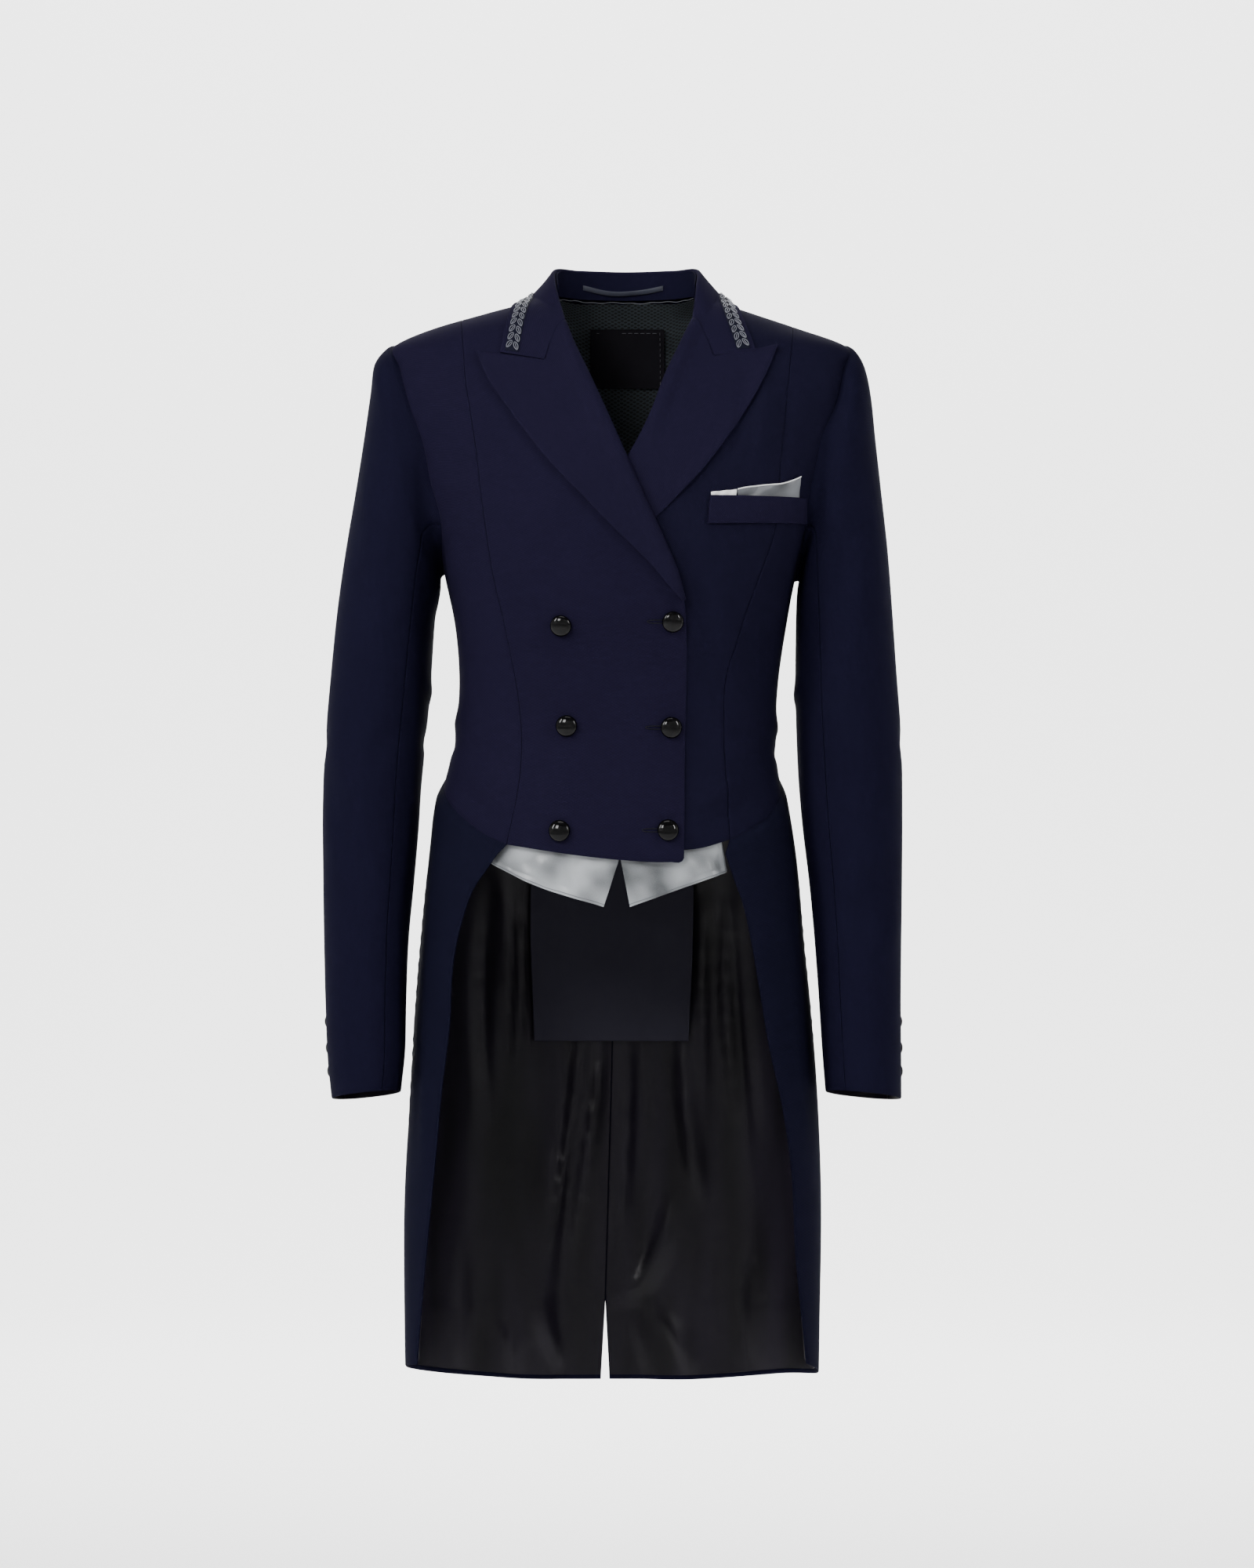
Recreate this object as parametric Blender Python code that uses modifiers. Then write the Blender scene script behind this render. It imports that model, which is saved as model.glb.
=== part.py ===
"""A women's dressage tailcoat, filled out as if worn: cloth walls over one smooth form.

Metres, +Z up, the front faces -Y. Right and left are the wearer's, so right is -X.
The origin lies between the shoulders at the base of the neck, where a wearer holds the coat up.
"""

import math

import bpy
import numpy as np
from mathutils import Vector

# Cloth
CLOTH = 0.0015  # wall of the wool cloth
LINING = 0.0010  # wall of satin, mesh and label
SEAM = 0.0003  # gap between two pieces sewn edge to edge
ARMHOLE_SEAM = 0.0010  # the same where a sleeve meets the body at an angle
LAYER = 0.0022  # from the face of a layer to the face of the one that lies on it
LINING_GAP = 0.0006  # between a lining and the cloth that it lines
REST_GAP = 0.0004  # between trim and the cloth that it lies on

# Buttons: radius and height of the dome
FRONT_BUTTON = (0.0090, 0.0058)
CUFF_BUTTON = (0.0055, 0.0038)

# Columns: height, right side x, left side x, front depth, back depth, squareness of the section
FORM = (
    (-0.910, -0.1754, 0.1662, 0.095, 0.096, 2.4),
    (-0.845, -0.1764, 0.1672, 0.097, 0.098, 2.4),
    (-0.740, -0.1762, 0.1683, 0.100, 0.102, 2.4),
    (-0.634, -0.1696, 0.1637, 0.104, 0.106, 2.4),
    (-0.528, -0.1617, 0.1538, 0.107, 0.106, 2.4),
    (-0.450, -0.1550, 0.1465, 0.105, 0.094, 2.4),
    (-0.410, -0.1500, 0.1400, 0.101, 0.084, 2.4),
    (-0.385, -0.1430, 0.1350, 0.098, 0.078, 2.4),
    (-0.343, -0.1350, 0.1333, 0.097, 0.075, 2.4),
    (-0.317, -0.1333, 0.1346, 0.100, 0.078, 2.4),
    (-0.264, -0.1366, 0.1419, 0.110, 0.088, 2.5),
    (-0.218, -0.1460, 0.1510, 0.118, 0.097, 2.6),
    (-0.190, -0.1510, 0.1600, 0.119, 0.101, 2.6),
    (-0.150, -0.1660, 0.1730, 0.113, 0.104, 2.5),
    (-0.112, -0.1790, 0.1860, 0.102, 0.102, 2.5),
    (-0.080, -0.1900, 0.1945, 0.089, 0.097, 2.6),
    (-0.050, -0.1915, 0.1955, 0.074, 0.089, 2.6),
    (-0.027, -0.1870, 0.1905, 0.059, 0.081, 2.3),
    (-0.013, -0.1550, 0.1520, 0.050, 0.074, 2.1),
    (0.000, -0.1100, 0.1130, 0.038, 0.067, 2.1),
    (0.014, -0.0600, 0.0730, 0.024, 0.057, 2.1),
    (0.045, -0.0480, 0.0620, 0.014, 0.050, 2.1),
)
NECK_Z = 0.014
SHOULDER_Z = -0.027

# Seams on the front, each a row of (x, height) from the top down
PRINCESS = {
    "right": (
        (-0.1290, -0.030),
        (-0.1265, -0.060),
        (-0.1207, -0.097),
        (-0.1086, -0.189),
        (-0.1009, -0.234),
        (-0.0894, -0.286),
        (-0.0816, -0.331),
        (-0.0796, -0.370),
        (-0.0828, -0.402),
        (-0.0920, -0.446),
    ),
    "left": (
        (0.1455, -0.030),
        (0.1415, -0.070),
        (0.1390, -0.100),
        (0.1359, -0.130),
        (0.1300, -0.188),
        (0.1117, -0.240),
        (0.0923, -0.299),
        (0.0884, -0.350),
        (0.0917, -0.409),
        (0.0930, -0.442),
    ),
}
PRINCESS_TOP_X = {"right": -0.130, "left": 0.147}
NECK_X = {"right": -0.060, "left": 0.073}
SHOULDER_X = {"right": -0.187, "left": 0.1905}

# The lapels turn back along the roll lines. The left one runs on under the right front.
ROLL = {
    "right": (
        (-0.0437, -0.0095),
        (-0.0371, -0.0261),
        (-0.0187, -0.0656),
        (-0.0011, -0.1050),
        (0.0208, -0.1548),
        (0.0389, -0.1943),
        (0.0500, -0.2200),
        (0.0563, -0.2443),
    ),
    "left": (
        (0.0629, -0.0071),
        (0.0509, -0.0322),
        (0.0391, -0.0575),
        (0.0267, -0.0903),
        (0.0112, -0.1188),
        (-0.0150, -0.1600),
        (-0.0400, -0.2100),
        (-0.0550, -0.2443),
    ),
}
LAPEL_EDGE = {
    "right": (
        (-0.1181, -0.0363),
        (-0.1086, -0.0588),
        (-0.0861, -0.0918),
        (-0.0580, -0.1285),
        (-0.0282, -0.1600),
        (0.0015, -0.1905),
        (0.0266, -0.2143),
        (0.0520, -0.2440),
    ),
    "left": (
        (0.1334, -0.0312),
        (0.1266, -0.0484),
        (0.1106, -0.0795),
        (0.0902, -0.1104),
        (0.0706, -0.1362),
        (0.0350, -0.1730),
        (-0.0080, -0.2120),
        (-0.0490, -0.2440),
    ),
}
# The gorge seam, where collar and lapel meet, down from the roll line, then the notch out to the points
GORGE = {
    "right": ((-0.0437, -0.0095), (-0.0528, -0.0215), (-0.0605, -0.0400)),
    "left": ((0.0629, -0.0071), (0.0730, -0.0215), (0.0800, -0.0370)),
}
PEAK = {"right": (-0.1181, -0.0363), "left": (0.1334, -0.0312)}
COLLAR_POINT = {"right": (-0.0991, -0.0335), "left": (0.1156, -0.0325)}

LAPEL_SWELL = (0.0030, 0.0070, 0.0080)  # height of the roll, its distance from the roll line, its width

FRONT_EDGE = {
    "right": ((0.0563, -0.2443), (0.0577, -0.2990), (0.0562, -0.3700), (0.0550, -0.4540)),
    "left": ((-0.0550, -0.2443), (-0.0560, -0.3400), (-0.0560, -0.4480)),
}
FRONT_HEM = {
    "right": ((-0.0920, -0.446), (-0.0567, -0.4516), (-0.0050, -0.4580), (0.0440, -0.4605), (0.0550, -0.4540)),
    "left": ((-0.0560, -0.4480), (0.0200, -0.4500), (0.0727, -0.4482), (0.0930, -0.4420)),
}

# How finely the body's panels are divided
ROWS_LAPEL = 12
ROWS_EDGE = 9
FRONT_COLUMNS = 8
WAIST_COLUMNS = 5
BACK_COLUMNS = 10
BACK_ROWS = 12

# Armholes, from the shoulder down: front half and back half
ARMHOLE_FRONT = {
    "right": ((-0.184, -0.045), (-0.175, -0.077), (-0.162, -0.115), (-0.1566, -0.143), (-0.148, -0.175)),
    "left": ((0.189, -0.050), (0.182, -0.080), (0.171, -0.105), (0.164, -0.135), (0.1575, -0.172)),
}
ARMHOLE_BACK = {
    "right": ((-0.184, -0.048), (-0.174, -0.080), (-0.164, -0.112), (-0.154, -0.145), (-0.147, -0.190)),
    "left": ((0.186, -0.048), (0.178, -0.080), (0.170, -0.112), (0.161, -0.145), (0.155, -0.190)),
}
ARMHOLE_HALF_WIDTH = 0.051
UNDERARM_Z = {"right": -0.220, "left": -0.226}

# Waist seam: at the centre back, at the side, then points on the front as (x, height)
WAIST_BACK_Z = -0.380
WAIST_SIDE_Z = -0.392
WAIST_FRONT = {
    "right": ((-0.1300, -0.4230), (-0.1110, -0.4370), (-0.0920, -0.446)),
    "left": ((0.1250, -0.4230), (0.1080, -0.4350), (0.0930, -0.442)),
}
# Curved seam between back and side back, from the armhole to the waist, as (distance from centre, height)
BACK_PRINCESS = ((0.128, -0.190), (0.088, -0.255), (0.062, -0.320))
BACK_PRINCESS_END = 0.054
CENTRE_BACK_X = 0.004

# Tails
TAIL_ROWS = 15
TAIL_BACK_COLUMNS = 8
TAIL_SPRING = 0.0030  # how far the tails stand out past the form just under the waist seam
TAIL_SPRING_HEIGHT = 0.014
TAIL_EDGE = {
    "right": (
        (-0.0960, -0.4500),
        (-0.1062, -0.4654),
        (-0.1174, -0.4817),
        (-0.1273, -0.5085),
        (-0.1346, -0.5424),
        (-0.1379, -0.5951),
        (-0.1445, -0.6507),
        (-0.1498, -0.7088),
        (-0.1565, -0.7764),
        (-0.1655, -0.8803),
    ),
    "left": (
        (0.0915, -0.4470),
        (0.0950, -0.4699),
        (0.1033, -0.4965),
        (0.1095, -0.5251),
        (0.1167, -0.5661),
        (0.1239, -0.6098),
        (0.1355, -0.6629),
        (0.1428, -0.7115),
        (0.1470, -0.7886),
        (0.1561, -0.8796),
    ),
}
TAIL_SEAM_X = (-0.001, -0.0109)  # centre-back seam at the waist and at the top of the vent
VENT_TOP_Z = -0.834
VENT_HALF_GAP = 0.0040  # half the vent's width at the hem
HEM_SIDE_Z = {"right": -0.886, "left": -0.891}
HEM_BACK_Z = -0.9066
# Soft flutes down the tails. Columns: x at the hem, width, depth outwards
FLUTES = (
    (-0.118, 0.020, 0.0045),
    (-0.078, 0.018, -0.0040),
    (-0.042, 0.014, 0.0040),
    (0.026, 0.016, 0.0045),
    (0.066, 0.018, -0.0040),
    (0.112, 0.020, 0.0040),
)
FLUTES_START_Z = -0.44
LINING_INSET = 0.005
LINING_HEM_INSET = 0.010

# Sleeves. Columns: shoulder-side height, underarm-side height, right outer x, right inner x,
# left outer x, left inner x, centre depth, half depth
SLEEVE = (
    (-0.031, -0.225, -0.1970, -0.1480, 0.2000, 0.1525, 0.000, 0.056),
    (-0.043, -0.232, -0.2045, -0.1490, 0.2070, 0.1515, 0.000, 0.061),
    (-0.068, -0.242, -0.2080, -0.1505, 0.2130, 0.1507, 0.001, 0.064),
    (-0.106, -0.256, -0.2135, -0.1535, 0.2171, 0.1503, 0.002, 0.065),
    (-0.150, -0.274, -0.2205, -0.1550, 0.2220, 0.1500, 0.003, 0.064),
    (-0.200, -0.298, -0.2290, -0.1565, 0.2275, 0.1498, 0.003, 0.063),
    (-0.250, -0.325, -0.2360, -0.1585, 0.2313, 0.1500, 0.002, 0.061),
    (-0.305, -0.358, -0.2415, -0.1612, 0.2351, 0.1507, 0.001, 0.059),
    (-0.360, -0.396, -0.2460, -0.1650, 0.2390, 0.1525, -0.001, 0.057),
    (-0.415, -0.436, -0.2480, -0.1675, 0.2396, 0.1560, -0.004, 0.055),
    (-0.470, -0.480, -0.2475, -0.1712, 0.2392, 0.1612, -0.008, 0.053),
    (-0.525, -0.528, -0.2465, -0.1755, 0.2383, 0.1655, -0.013, 0.051),
    (-0.580, -0.578, -0.2450, -0.1772, 0.2376, 0.1690, -0.018, 0.049),
    (-0.625, -0.619, -0.2430, -0.1780, 0.2378, 0.1715, -0.022, 0.048),
    (-0.6575, -0.6515, -0.2395, -0.1815, 0.2378, 0.1742, -0.025, 0.047),
)
SLEEVE_SQUARENESS = 2.15
CAP_START = 0.010  # how far a sleeve first runs straight out from its armhole
RING = 24  # points round a sleeve
FRONT_SEAM_AT = 8  # ring points between the top of the sleeve and its two seams
BACK_SEAM_AT = -3

# Collar, mirrored about its centre. Columns: x, y, height
COLLAR_X = 0.0072
NECK_SEAM = (
    (0.000, 0.0545, 0.0150),
    (0.040, 0.0400, 0.0150),
    (0.0605, 0.0080, 0.0150),
    (0.0590, -0.0150, 0.0120),
)
FOLD = ((0.000, 0.0560, 0.0385), (0.039, 0.0430, 0.0385), (0.0600, 0.0100, 0.0360), (0.0595, -0.0120, 0.0240))
COLLAR_EDGE = (
    (0.000, 0.0800, -0.0120),
    (0.050, 0.0700, -0.0125),
    (0.0880, 0.0330, -0.0040),
    (0.0965, 0.0000, 0.0040),
    (0.1030, -0.0300, -0.0100),
)
COLLAR_COLUMNS = 26
STAND_COLUMNS = 22
STAND_INSIDE = 0.0024  # from the fold to the stand's inner face
COLLAR_END_SHARE = 0.22  # how far round the collar its straight-cut ends are felt
BRAID_FROM_EDGE = (0.0045, 0.0160)  # from the outer edge to the braid's two sides

# Welt pocket and square on the left chest, as (x, height)
WELT = ((0.0757, -0.1584), (0.1560, -0.1581), (0.0737, -0.1818), (0.1560, -0.1795))
SQUARE_TOP = ((0.0770, -0.1555), (0.0980, -0.1515), (0.1378, -0.1465), (0.1510, -0.1410))
SQUARE_FOLD = 0.0985  # x where the white fold ends and the silver one starts

# Waistcoat points, as (x, height): the edge that shows, out from the tip, and the edge at the centre
WAISTCOAT_EDGE = {
    "right": ((-0.0115, -0.4974), (-0.0697, -0.4794), (-0.0930, -0.4690), (-0.1080, -0.4610)),
    "left": ((0.0105, -0.4974), (0.0415, -0.4865), (0.0713, -0.4749), (0.0960, -0.4660)),
}
WAISTCOAT_CENTRE_X = {"right": 0.0005, "left": 0.0030}
WAISTCOAT_TOP_Z = -0.434

# Inside the neck, and the panel inside the tails
MESH_LOW_Z = -0.180
LABEL_SIZE = (0.0637, 0.0500)
LABEL_MIDDLE = (0.0082, -0.0310)
LOOP_ENDS = ((-0.0294, 0.0250), (0.0385, 0.0240))
LOOP_SAG = 0.0045
LOOP_RADIUS = 0.0013
PANEL_COLUMNS = 3  # of a tail's columns, each side of the centre back
PANEL_LOW_Z = -0.6169

# Buttons on the right front and the left side, as (x, height)
FRONT_BUTTONS = (
    (-0.0463, -0.2655),
    (0.0455, -0.2623),
    (-0.0419, -0.3481),
    (0.0442, -0.3494),
    (-0.0477, -0.4348),
    (0.0415, -0.4342),
)
CUFF_BUTTON_HEIGHTS = (-0.598, -0.6175, -0.636)
CUFF_BUTTON_TURN = math.radians(22)  # from the sleeve's outer side towards the back


def smooth(table, at):
    """The table's other columns where its first one has these values, on a smooth curve."""
    table = np.array(table, float)
    key, rest = table[:, 0], table[:, 1:]
    slope = np.gradient(rest, key, axis=0)
    at = np.clip(at, key[0], key[-1])
    i = np.clip(np.searchsorted(key, at) - 1, 0, len(key) - 2)
    step = (key[i + 1] - key[i])[..., None]
    t = (at - key[i])[..., None] / step
    start = (2 * t**3 - 3 * t**2 + 1) * rest[i] + (t**3 - 2 * t**2 + t) * step * slope[i]
    end = (3 * t**2 - 2 * t**3) * rest[i + 1] + (t**3 - t**2) * step * slope[i + 1]
    return start + end


def ease(x):
    """0 below 0, 1 above 1 and a smooth step between."""
    x = np.clip(x, 0, 1)
    return x * x * (3 - 2 * x)


def section(z):
    """Centre x, half width, front depth, back depth and squareness of the form at these heights."""
    right, left, front, back, square = np.moveaxis(smooth(FORM, np.asarray(z, float)), -1, 0)
    return (left + right) / 2, (left - right) / 2, front, back, square


def field(points):
    """1 on the form, less inside it and more outside."""
    centre, half, front, back, square = section(points[..., 2])
    across = np.abs(points[..., 0] - centre) / half
    deep = np.abs(points[..., 1]) / np.where(points[..., 1] < 0, front, back)
    return (across**square + deep**square) ** (1 / square)


def gradient(points):
    """How fast the field grows along each axis."""
    step = 0.0004
    sides = [(field(points + step * axis) - field(points - step * axis)) / (2 * step) for axis in np.eye(3)]
    return np.stack(sides, axis=-1)


def unit(vectors):
    return vectors / np.linalg.norm(vectors, axis=-1, keepdims=True)


def to_form(points):
    """The points pushed straight onto the form, from either side of it."""
    for _ in range(8):
        slope = gradient(points)
        points = points + slope * ((1 - field(points)) / np.sum(slope**2, axis=-1))[..., None]
    return points


def raised(points, height):
    """Points of the form moved straight out from it."""
    return points + unit(gradient(points)) * np.asarray(height)[..., None]


def kept_outside(points, height):
    """The points, with those nearer the form than this height moved out to it."""
    slope = gradient(points)
    steepness = np.linalg.norm(slope, axis=-1)
    short = height - (field(points) - 1) / steepness
    return points + slope / steepness[..., None] * np.maximum(short, 0)[..., None]


def on_front(places, side=-1):
    """Points of the form at these (x, height) places as seen from the front, or from behind with side 1."""
    places = np.array(places, float).reshape(-1, 2)
    x, z = places[:, 0], places[:, 1]
    centre, half, front, back, square = section(z)
    across = np.clip(np.abs(x - centre) / half, 0, 1)
    depth = (1 - across**square) ** (1 / square)
    return np.stack([x, side * depth * np.where(side < 0, front, back), z], axis=-1)


def on_back(places):
    return on_front(places, 1)


def at_side(which, heights):
    """Points of the form on its side line."""
    heights = np.atleast_1d(np.array(heights, float))
    centre, half, _, _, _ = section(heights)
    x = centre + half * (1 if which == "left" else -1)
    return np.stack([x, np.zeros_like(x), heights], axis=-1)


def on_shoulder(places_x):
    """Points of the shoulder seam, which is the form's top ridge, at these x."""
    heights = np.linspace(SHOULDER_Z, NECK_Z, 80)
    centre, half, _, _, _ = section(heights)
    points = []
    for x in np.atleast_1d(places_x):
        edge = centre + half * np.sign(x)
        z = np.interp(-abs(x), -np.abs(edge), heights)
        points.append((x, 0.0, z))
    return np.array(points)


def through(points, count):
    """count + 1 evenly spaced points along a smooth curve through these."""
    points = np.array(points, float)
    chord = np.concatenate([[0], np.cumsum(np.linalg.norm(np.diff(points, axis=0), axis=1))])
    fine = smooth(np.column_stack([chord, points]), np.linspace(0, chord[-1], 400))
    length = np.concatenate([[0], np.cumsum(np.linalg.norm(np.diff(fine, axis=0), axis=1))])
    at = np.linspace(0, length[-1], count + 1)
    return np.stack([np.interp(at, length, fine[:, k]) for k in range(3)], axis=1)


def joined(*curves):
    """One run of points from curves that each start where the last one ends."""
    return np.concatenate([curves[0]] + [curve[1:] for curve in curves[1:]])


def filled(left, right, top, bottom):
    """A grid of points between four edges. Left and right run down, top and bottom run left to right."""
    down = np.linspace(0, 1, len(left))[:, None, None]
    across = np.linspace(0, 1, len(top))[None, :, None]
    ruled = (1 - across) * left[:, None] + across * right[:, None]
    ruled = ruled + (1 - down) * top[None] + down * bottom[None]
    high = (1 - across) * left[0] + across * right[0]
    low = (1 - across) * left[-1] + across * right[-1]
    return ruled - (1 - down) * high - down * low


def trimmed(grid, sides="lrtb", by=SEAM / 2):
    """The grid with these edges drawn in: left, right, top, bottom."""
    grid = grid.copy()
    if "l" in sides:
        grid[:, 0] += unit(grid[:, 1] - grid[:, 0]) * by
    if "r" in sides:
        grid[:, -1] += unit(grid[:, -2] - grid[:, -1]) * by
    if "t" in sides:
        grid[0] += unit(grid[1] - grid[0]) * by
    if "b" in sides:
        grid[-1] += unit(grid[-2] - grid[-1]) * by
    return grid


def grid_normals(grid):
    """The direction that a grid faces at each of its points."""
    down = np.gradient(grid, axis=0)
    across = np.gradient(grid, axis=1)
    return unit(np.cross(down, across))


def facing_out(grid, core=None):
    """The grid, turned if need be so that it faces away from the core, or from the coat's middle line."""
    if core is None:
        core = grid * (0, 0, 1)
    outward = np.sum(grid_normals(grid) * (grid - core))
    return grid if outward > 0 else grid[:, ::-1]


def material(name, colour, roughness, metallic=0.0):
    made = bpy.data.materials.new(name)
    made.use_nodes = True
    shader = made.node_tree.nodes["Principled BSDF"]
    shader.inputs["Base Color"].default_value = (*colour, 1)
    shader.inputs["Roughness"].default_value = roughness
    shader.inputs["Metallic"].default_value = metallic
    return made


def add(name, mesh, finish):
    obj = bpy.data.objects.new(name, mesh)
    obj.data.materials.append(finish)
    COAT.objects.link(obj)
    return obj


def cloth(name, grid, wall, finish):
    """A sheet whose inner face runs through a grid of points."""
    rows, columns = grid.shape[:2]
    faces = []
    for r in range(rows - 1):
        for c in range(columns - 1):
            corner = r * columns + c
            faces.append((corner, corner + columns, corner + columns + 1, corner + 1))
    mesh = bpy.data.meshes.new(name)
    mesh.from_pydata([tuple(p) for p in grid.reshape(-1, 3)], [], faces)
    mesh.shade_smooth()
    obj = add(name, mesh, finish)
    solidify = obj.modifiers.new("wall", "SOLIDIFY")
    solidify.thickness = wall
    solidify.offset = 1
    return obj


def overlap_depth(points):
    """How far the left front is tucked in under the right one."""
    roll = np.array(ROLL["right"] + FRONT_EDGE["right"][1:])[::-1]
    edge = np.interp(points[..., 2], roll[:, 1], roll[:, 0])
    beyond = points[..., 0] - edge
    layers = 1.1 + 1.1 * ease((points[..., 2] + 0.285) / 0.03)
    return layers * LAYER * (1 - ease((beyond - 0.003) / 0.036))


def ring_turns():
    """The points of a sleeve's ring as how far each lies up and forward of its middle, from -1 to 1."""
    turn = 2 * np.pi * np.arange(RING) / RING
    up, forward = np.cos(turn), np.sin(turn)
    power = 2 / SLEEVE_SQUARENESS
    return np.sign(up) * np.abs(up) ** power, np.sign(forward) * np.abs(forward) ** power


def armhole(side):
    """The front and back halves of an armhole, from the shoulder down, with a point for each of the sleeve's."""
    tip = on_shoulder([SHOULDER_X[side]])
    low = at_side(side, UNDERARM_Z[side])
    middle, half = (tip[0, 2] + low[0, 2]) / 2, (tip[0, 2] - low[0, 2]) / 2
    up, forward = ring_turns()
    at = np.arctan2(forward, up)[: RING // 2 + 1]
    at[-1] = np.pi
    halves = []
    for places in (on_front(ARMHOLE_FRONT[side]), on_back(ARMHOLE_BACK[side])):
        curve = through(np.concatenate([tip, places, low]), 300)
        angle = np.arctan2(np.abs(curve[:, 1]) / ARMHOLE_HALF_WIDTH, (curve[:, 2] - middle) / half)
        halves.append(np.stack([np.interp(at, angle, curve[:, k]) for k in range(3)], axis=1))
    return halves


def shoulder(side, from_x, to_x, count):
    return through(on_shoulder(np.linspace(from_x, to_x, 6)), count)


def princess(side, count):
    top = on_shoulder([PRINCESS_TOP_X[side]])
    return through(np.concatenate([top, on_front(PRINCESS[side])]), count)


def waist(side, front_count, back_count):
    """The waist seam in two runs: from the centre back to the side, and from the side to the front."""
    start = on_back([(0.0, WAIST_BACK_Z)])
    middle = at_side(side, WAIST_SIDE_Z)
    sign = 1 if side == "left" else -1
    seam_end = (sign * BACK_PRINCESS_END, WAIST_BACK_Z - 0.002)
    quarter = on_back([seam_end, (sign * 0.110, WAIST_BACK_Z - 0.006)])
    back = through(np.concatenate([start, quarter, middle]), back_count)
    front = through(np.concatenate([middle, on_front(WAIST_FRONT[side])]), front_count)
    return back, front


def back_princess(side, count):
    sign = 1 if side == "left" else -1
    start = armhole(side)[1][RING // 4 : RING // 4 + 1]
    places = [(CENTRE_BACK_X + sign * x, z) for x, z in BACK_PRINCESS]
    places.append((sign * BACK_PRINCESS_END, WAIST_BACK_Z - 0.002))
    return through(np.concatenate([start, on_back(places)]), count)


def panel(name, grid, depth, finish, armhole_rows=0):
    """A panel of the body: its inner face lies the wall's thickness inside the form, plus this depth.

    Its first rows may end at the armhole, where they stop a little short of the sleeve."""
    points = to_form(grid)
    points = raised(points, -(CLOTH + depth(points)))
    hole = points[:armhole_rows]
    hole[:, 0] += unit(hole[:, 1] - hole[:, 0]) * 2 * SEAM
    return cloth(name, facing_out(trimmed(points)), CLOTH, finish)


def untucked(points):
    return np.zeros(points.shape[:-1])


def front_panel(side, finish):
    """From the princess seam to the front edge, which turns back along the roll line above the break."""
    rows = ROWS_LAPEL + ROWS_EDGE
    neck = on_shoulder([NECK_X[side]])
    roll = through(np.concatenate([neck, on_front(ROLL[side])]), ROWS_LAPEL)
    edge = joined(roll, through(on_front(FRONT_EDGE[side]), ROWS_EDGE))
    seam = princess(side, rows)
    hem = through(on_front(FRONT_HEM[side]), FRONT_COLUMNS)
    if side == "right":
        top = shoulder(side, PRINCESS_TOP_X[side], NECK_X[side], FRONT_COLUMNS)
        grid = filled(seam, edge, top, hem)
        return panel("right_front", grid, untucked, finish)
    top = shoulder(side, NECK_X[side], PRINCESS_TOP_X[side], FRONT_COLUMNS)
    grid = filled(edge, seam, top, hem)
    return panel("left_front", grid, overlap_depth, finish)


def side_front(side, finish):
    """From the armhole and side seam to the princess seam."""
    front = armhole(side)[0]
    rows = ROWS_LAPEL + ROWS_EDGE - RING // 2
    heights = np.linspace(UNDERARM_Z[side], WAIST_SIDE_Z, rows + 1)
    outer = joined(front, at_side(side, heights))
    seam = princess(side, len(outer) - 1)
    top = shoulder(side, SHOULDER_X[side], PRINCESS_TOP_X[side], WAIST_COLUMNS)
    bottom = waist(side, WAIST_COLUMNS, 4)[1]
    grid = filled(outer, seam, top, bottom)
    depth = overlap_depth if side == "left" else untucked
    panel(f"{side}_side_front", grid, depth, finish, RING // 2 + 1)


def back_points(side):
    """The outer face of a back, from the armhole and the curved back seam to the centre back."""
    upper = armhole(side)[1][: RING // 4 + 1]
    outer = joined(upper, back_princess(side, BACK_ROWS))
    neck_centre = on_back([(CENTRE_BACK_X, NECK_Z)])
    neck_mid = on_back([((CENTRE_BACK_X + NECK_X[side] * 0.62), NECK_Z)])
    neck = on_shoulder([NECK_X[side]])
    centre_end = on_back([(0.0, WAIST_BACK_Z)])
    centre_mid = on_back([(CENTRE_BACK_X * 0.8, -0.10), (CENTRE_BACK_X * 0.4, -0.25)])
    centre = through(np.concatenate([neck_centre, centre_mid, centre_end]), len(outer) - 1)
    top = joined(
        shoulder(side, SHOULDER_X[side], NECK_X[side], BACK_COLUMNS // 2),
        through(np.concatenate([neck, neck_mid, neck_centre]), BACK_COLUMNS // 2),
    )
    low_mid = on_back([(outer[-1, 0] / 2, WAIST_BACK_Z - 0.001)])
    low = through(np.concatenate([outer[-1:], low_mid, centre_end]), BACK_COLUMNS)
    return to_form(filled(outer, centre, top, low))


def side_back(side, finish):
    """From the curved back seam to the side seam, under the back of the armhole."""
    lower = armhole(side)[1][RING // 4 :]
    inner = back_princess(side, BACK_ROWS)
    outer = at_side(side, np.linspace(UNDERARM_Z[side], WAIST_SIDE_Z, BACK_ROWS + 1))
    sign = 1 if side == "left" else -1
    middle = on_back([(sign * 0.110, WAIST_BACK_Z - 0.006)])
    bottom = through(np.concatenate([inner[-1:], middle, outer[-1:]]), RING // 4)
    panel(f"{side}_side_back", filled(inner, outer, lower, bottom), untucked, finish)


def flute_height(points):
    """How far the tails' soft flutes stand out at these points."""
    centre, half, _, _, _ = section(points[..., 2])
    hem_half = section(HEM_BACK_Z)[1]
    spread = (points[..., 0] - centre) * hem_half / half
    grown = ease((FLUTES_START_Z - points[..., 2]) / 0.30) * (points[..., 1] > 0)
    height = np.zeros(points.shape[:-1])
    for x, width, out in FLUTES:
        height += out * np.exp(-(((spread - x) / width) ** 2))
    return height * grown * np.clip(points[..., 1] / 0.05, 0, 1)


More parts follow.
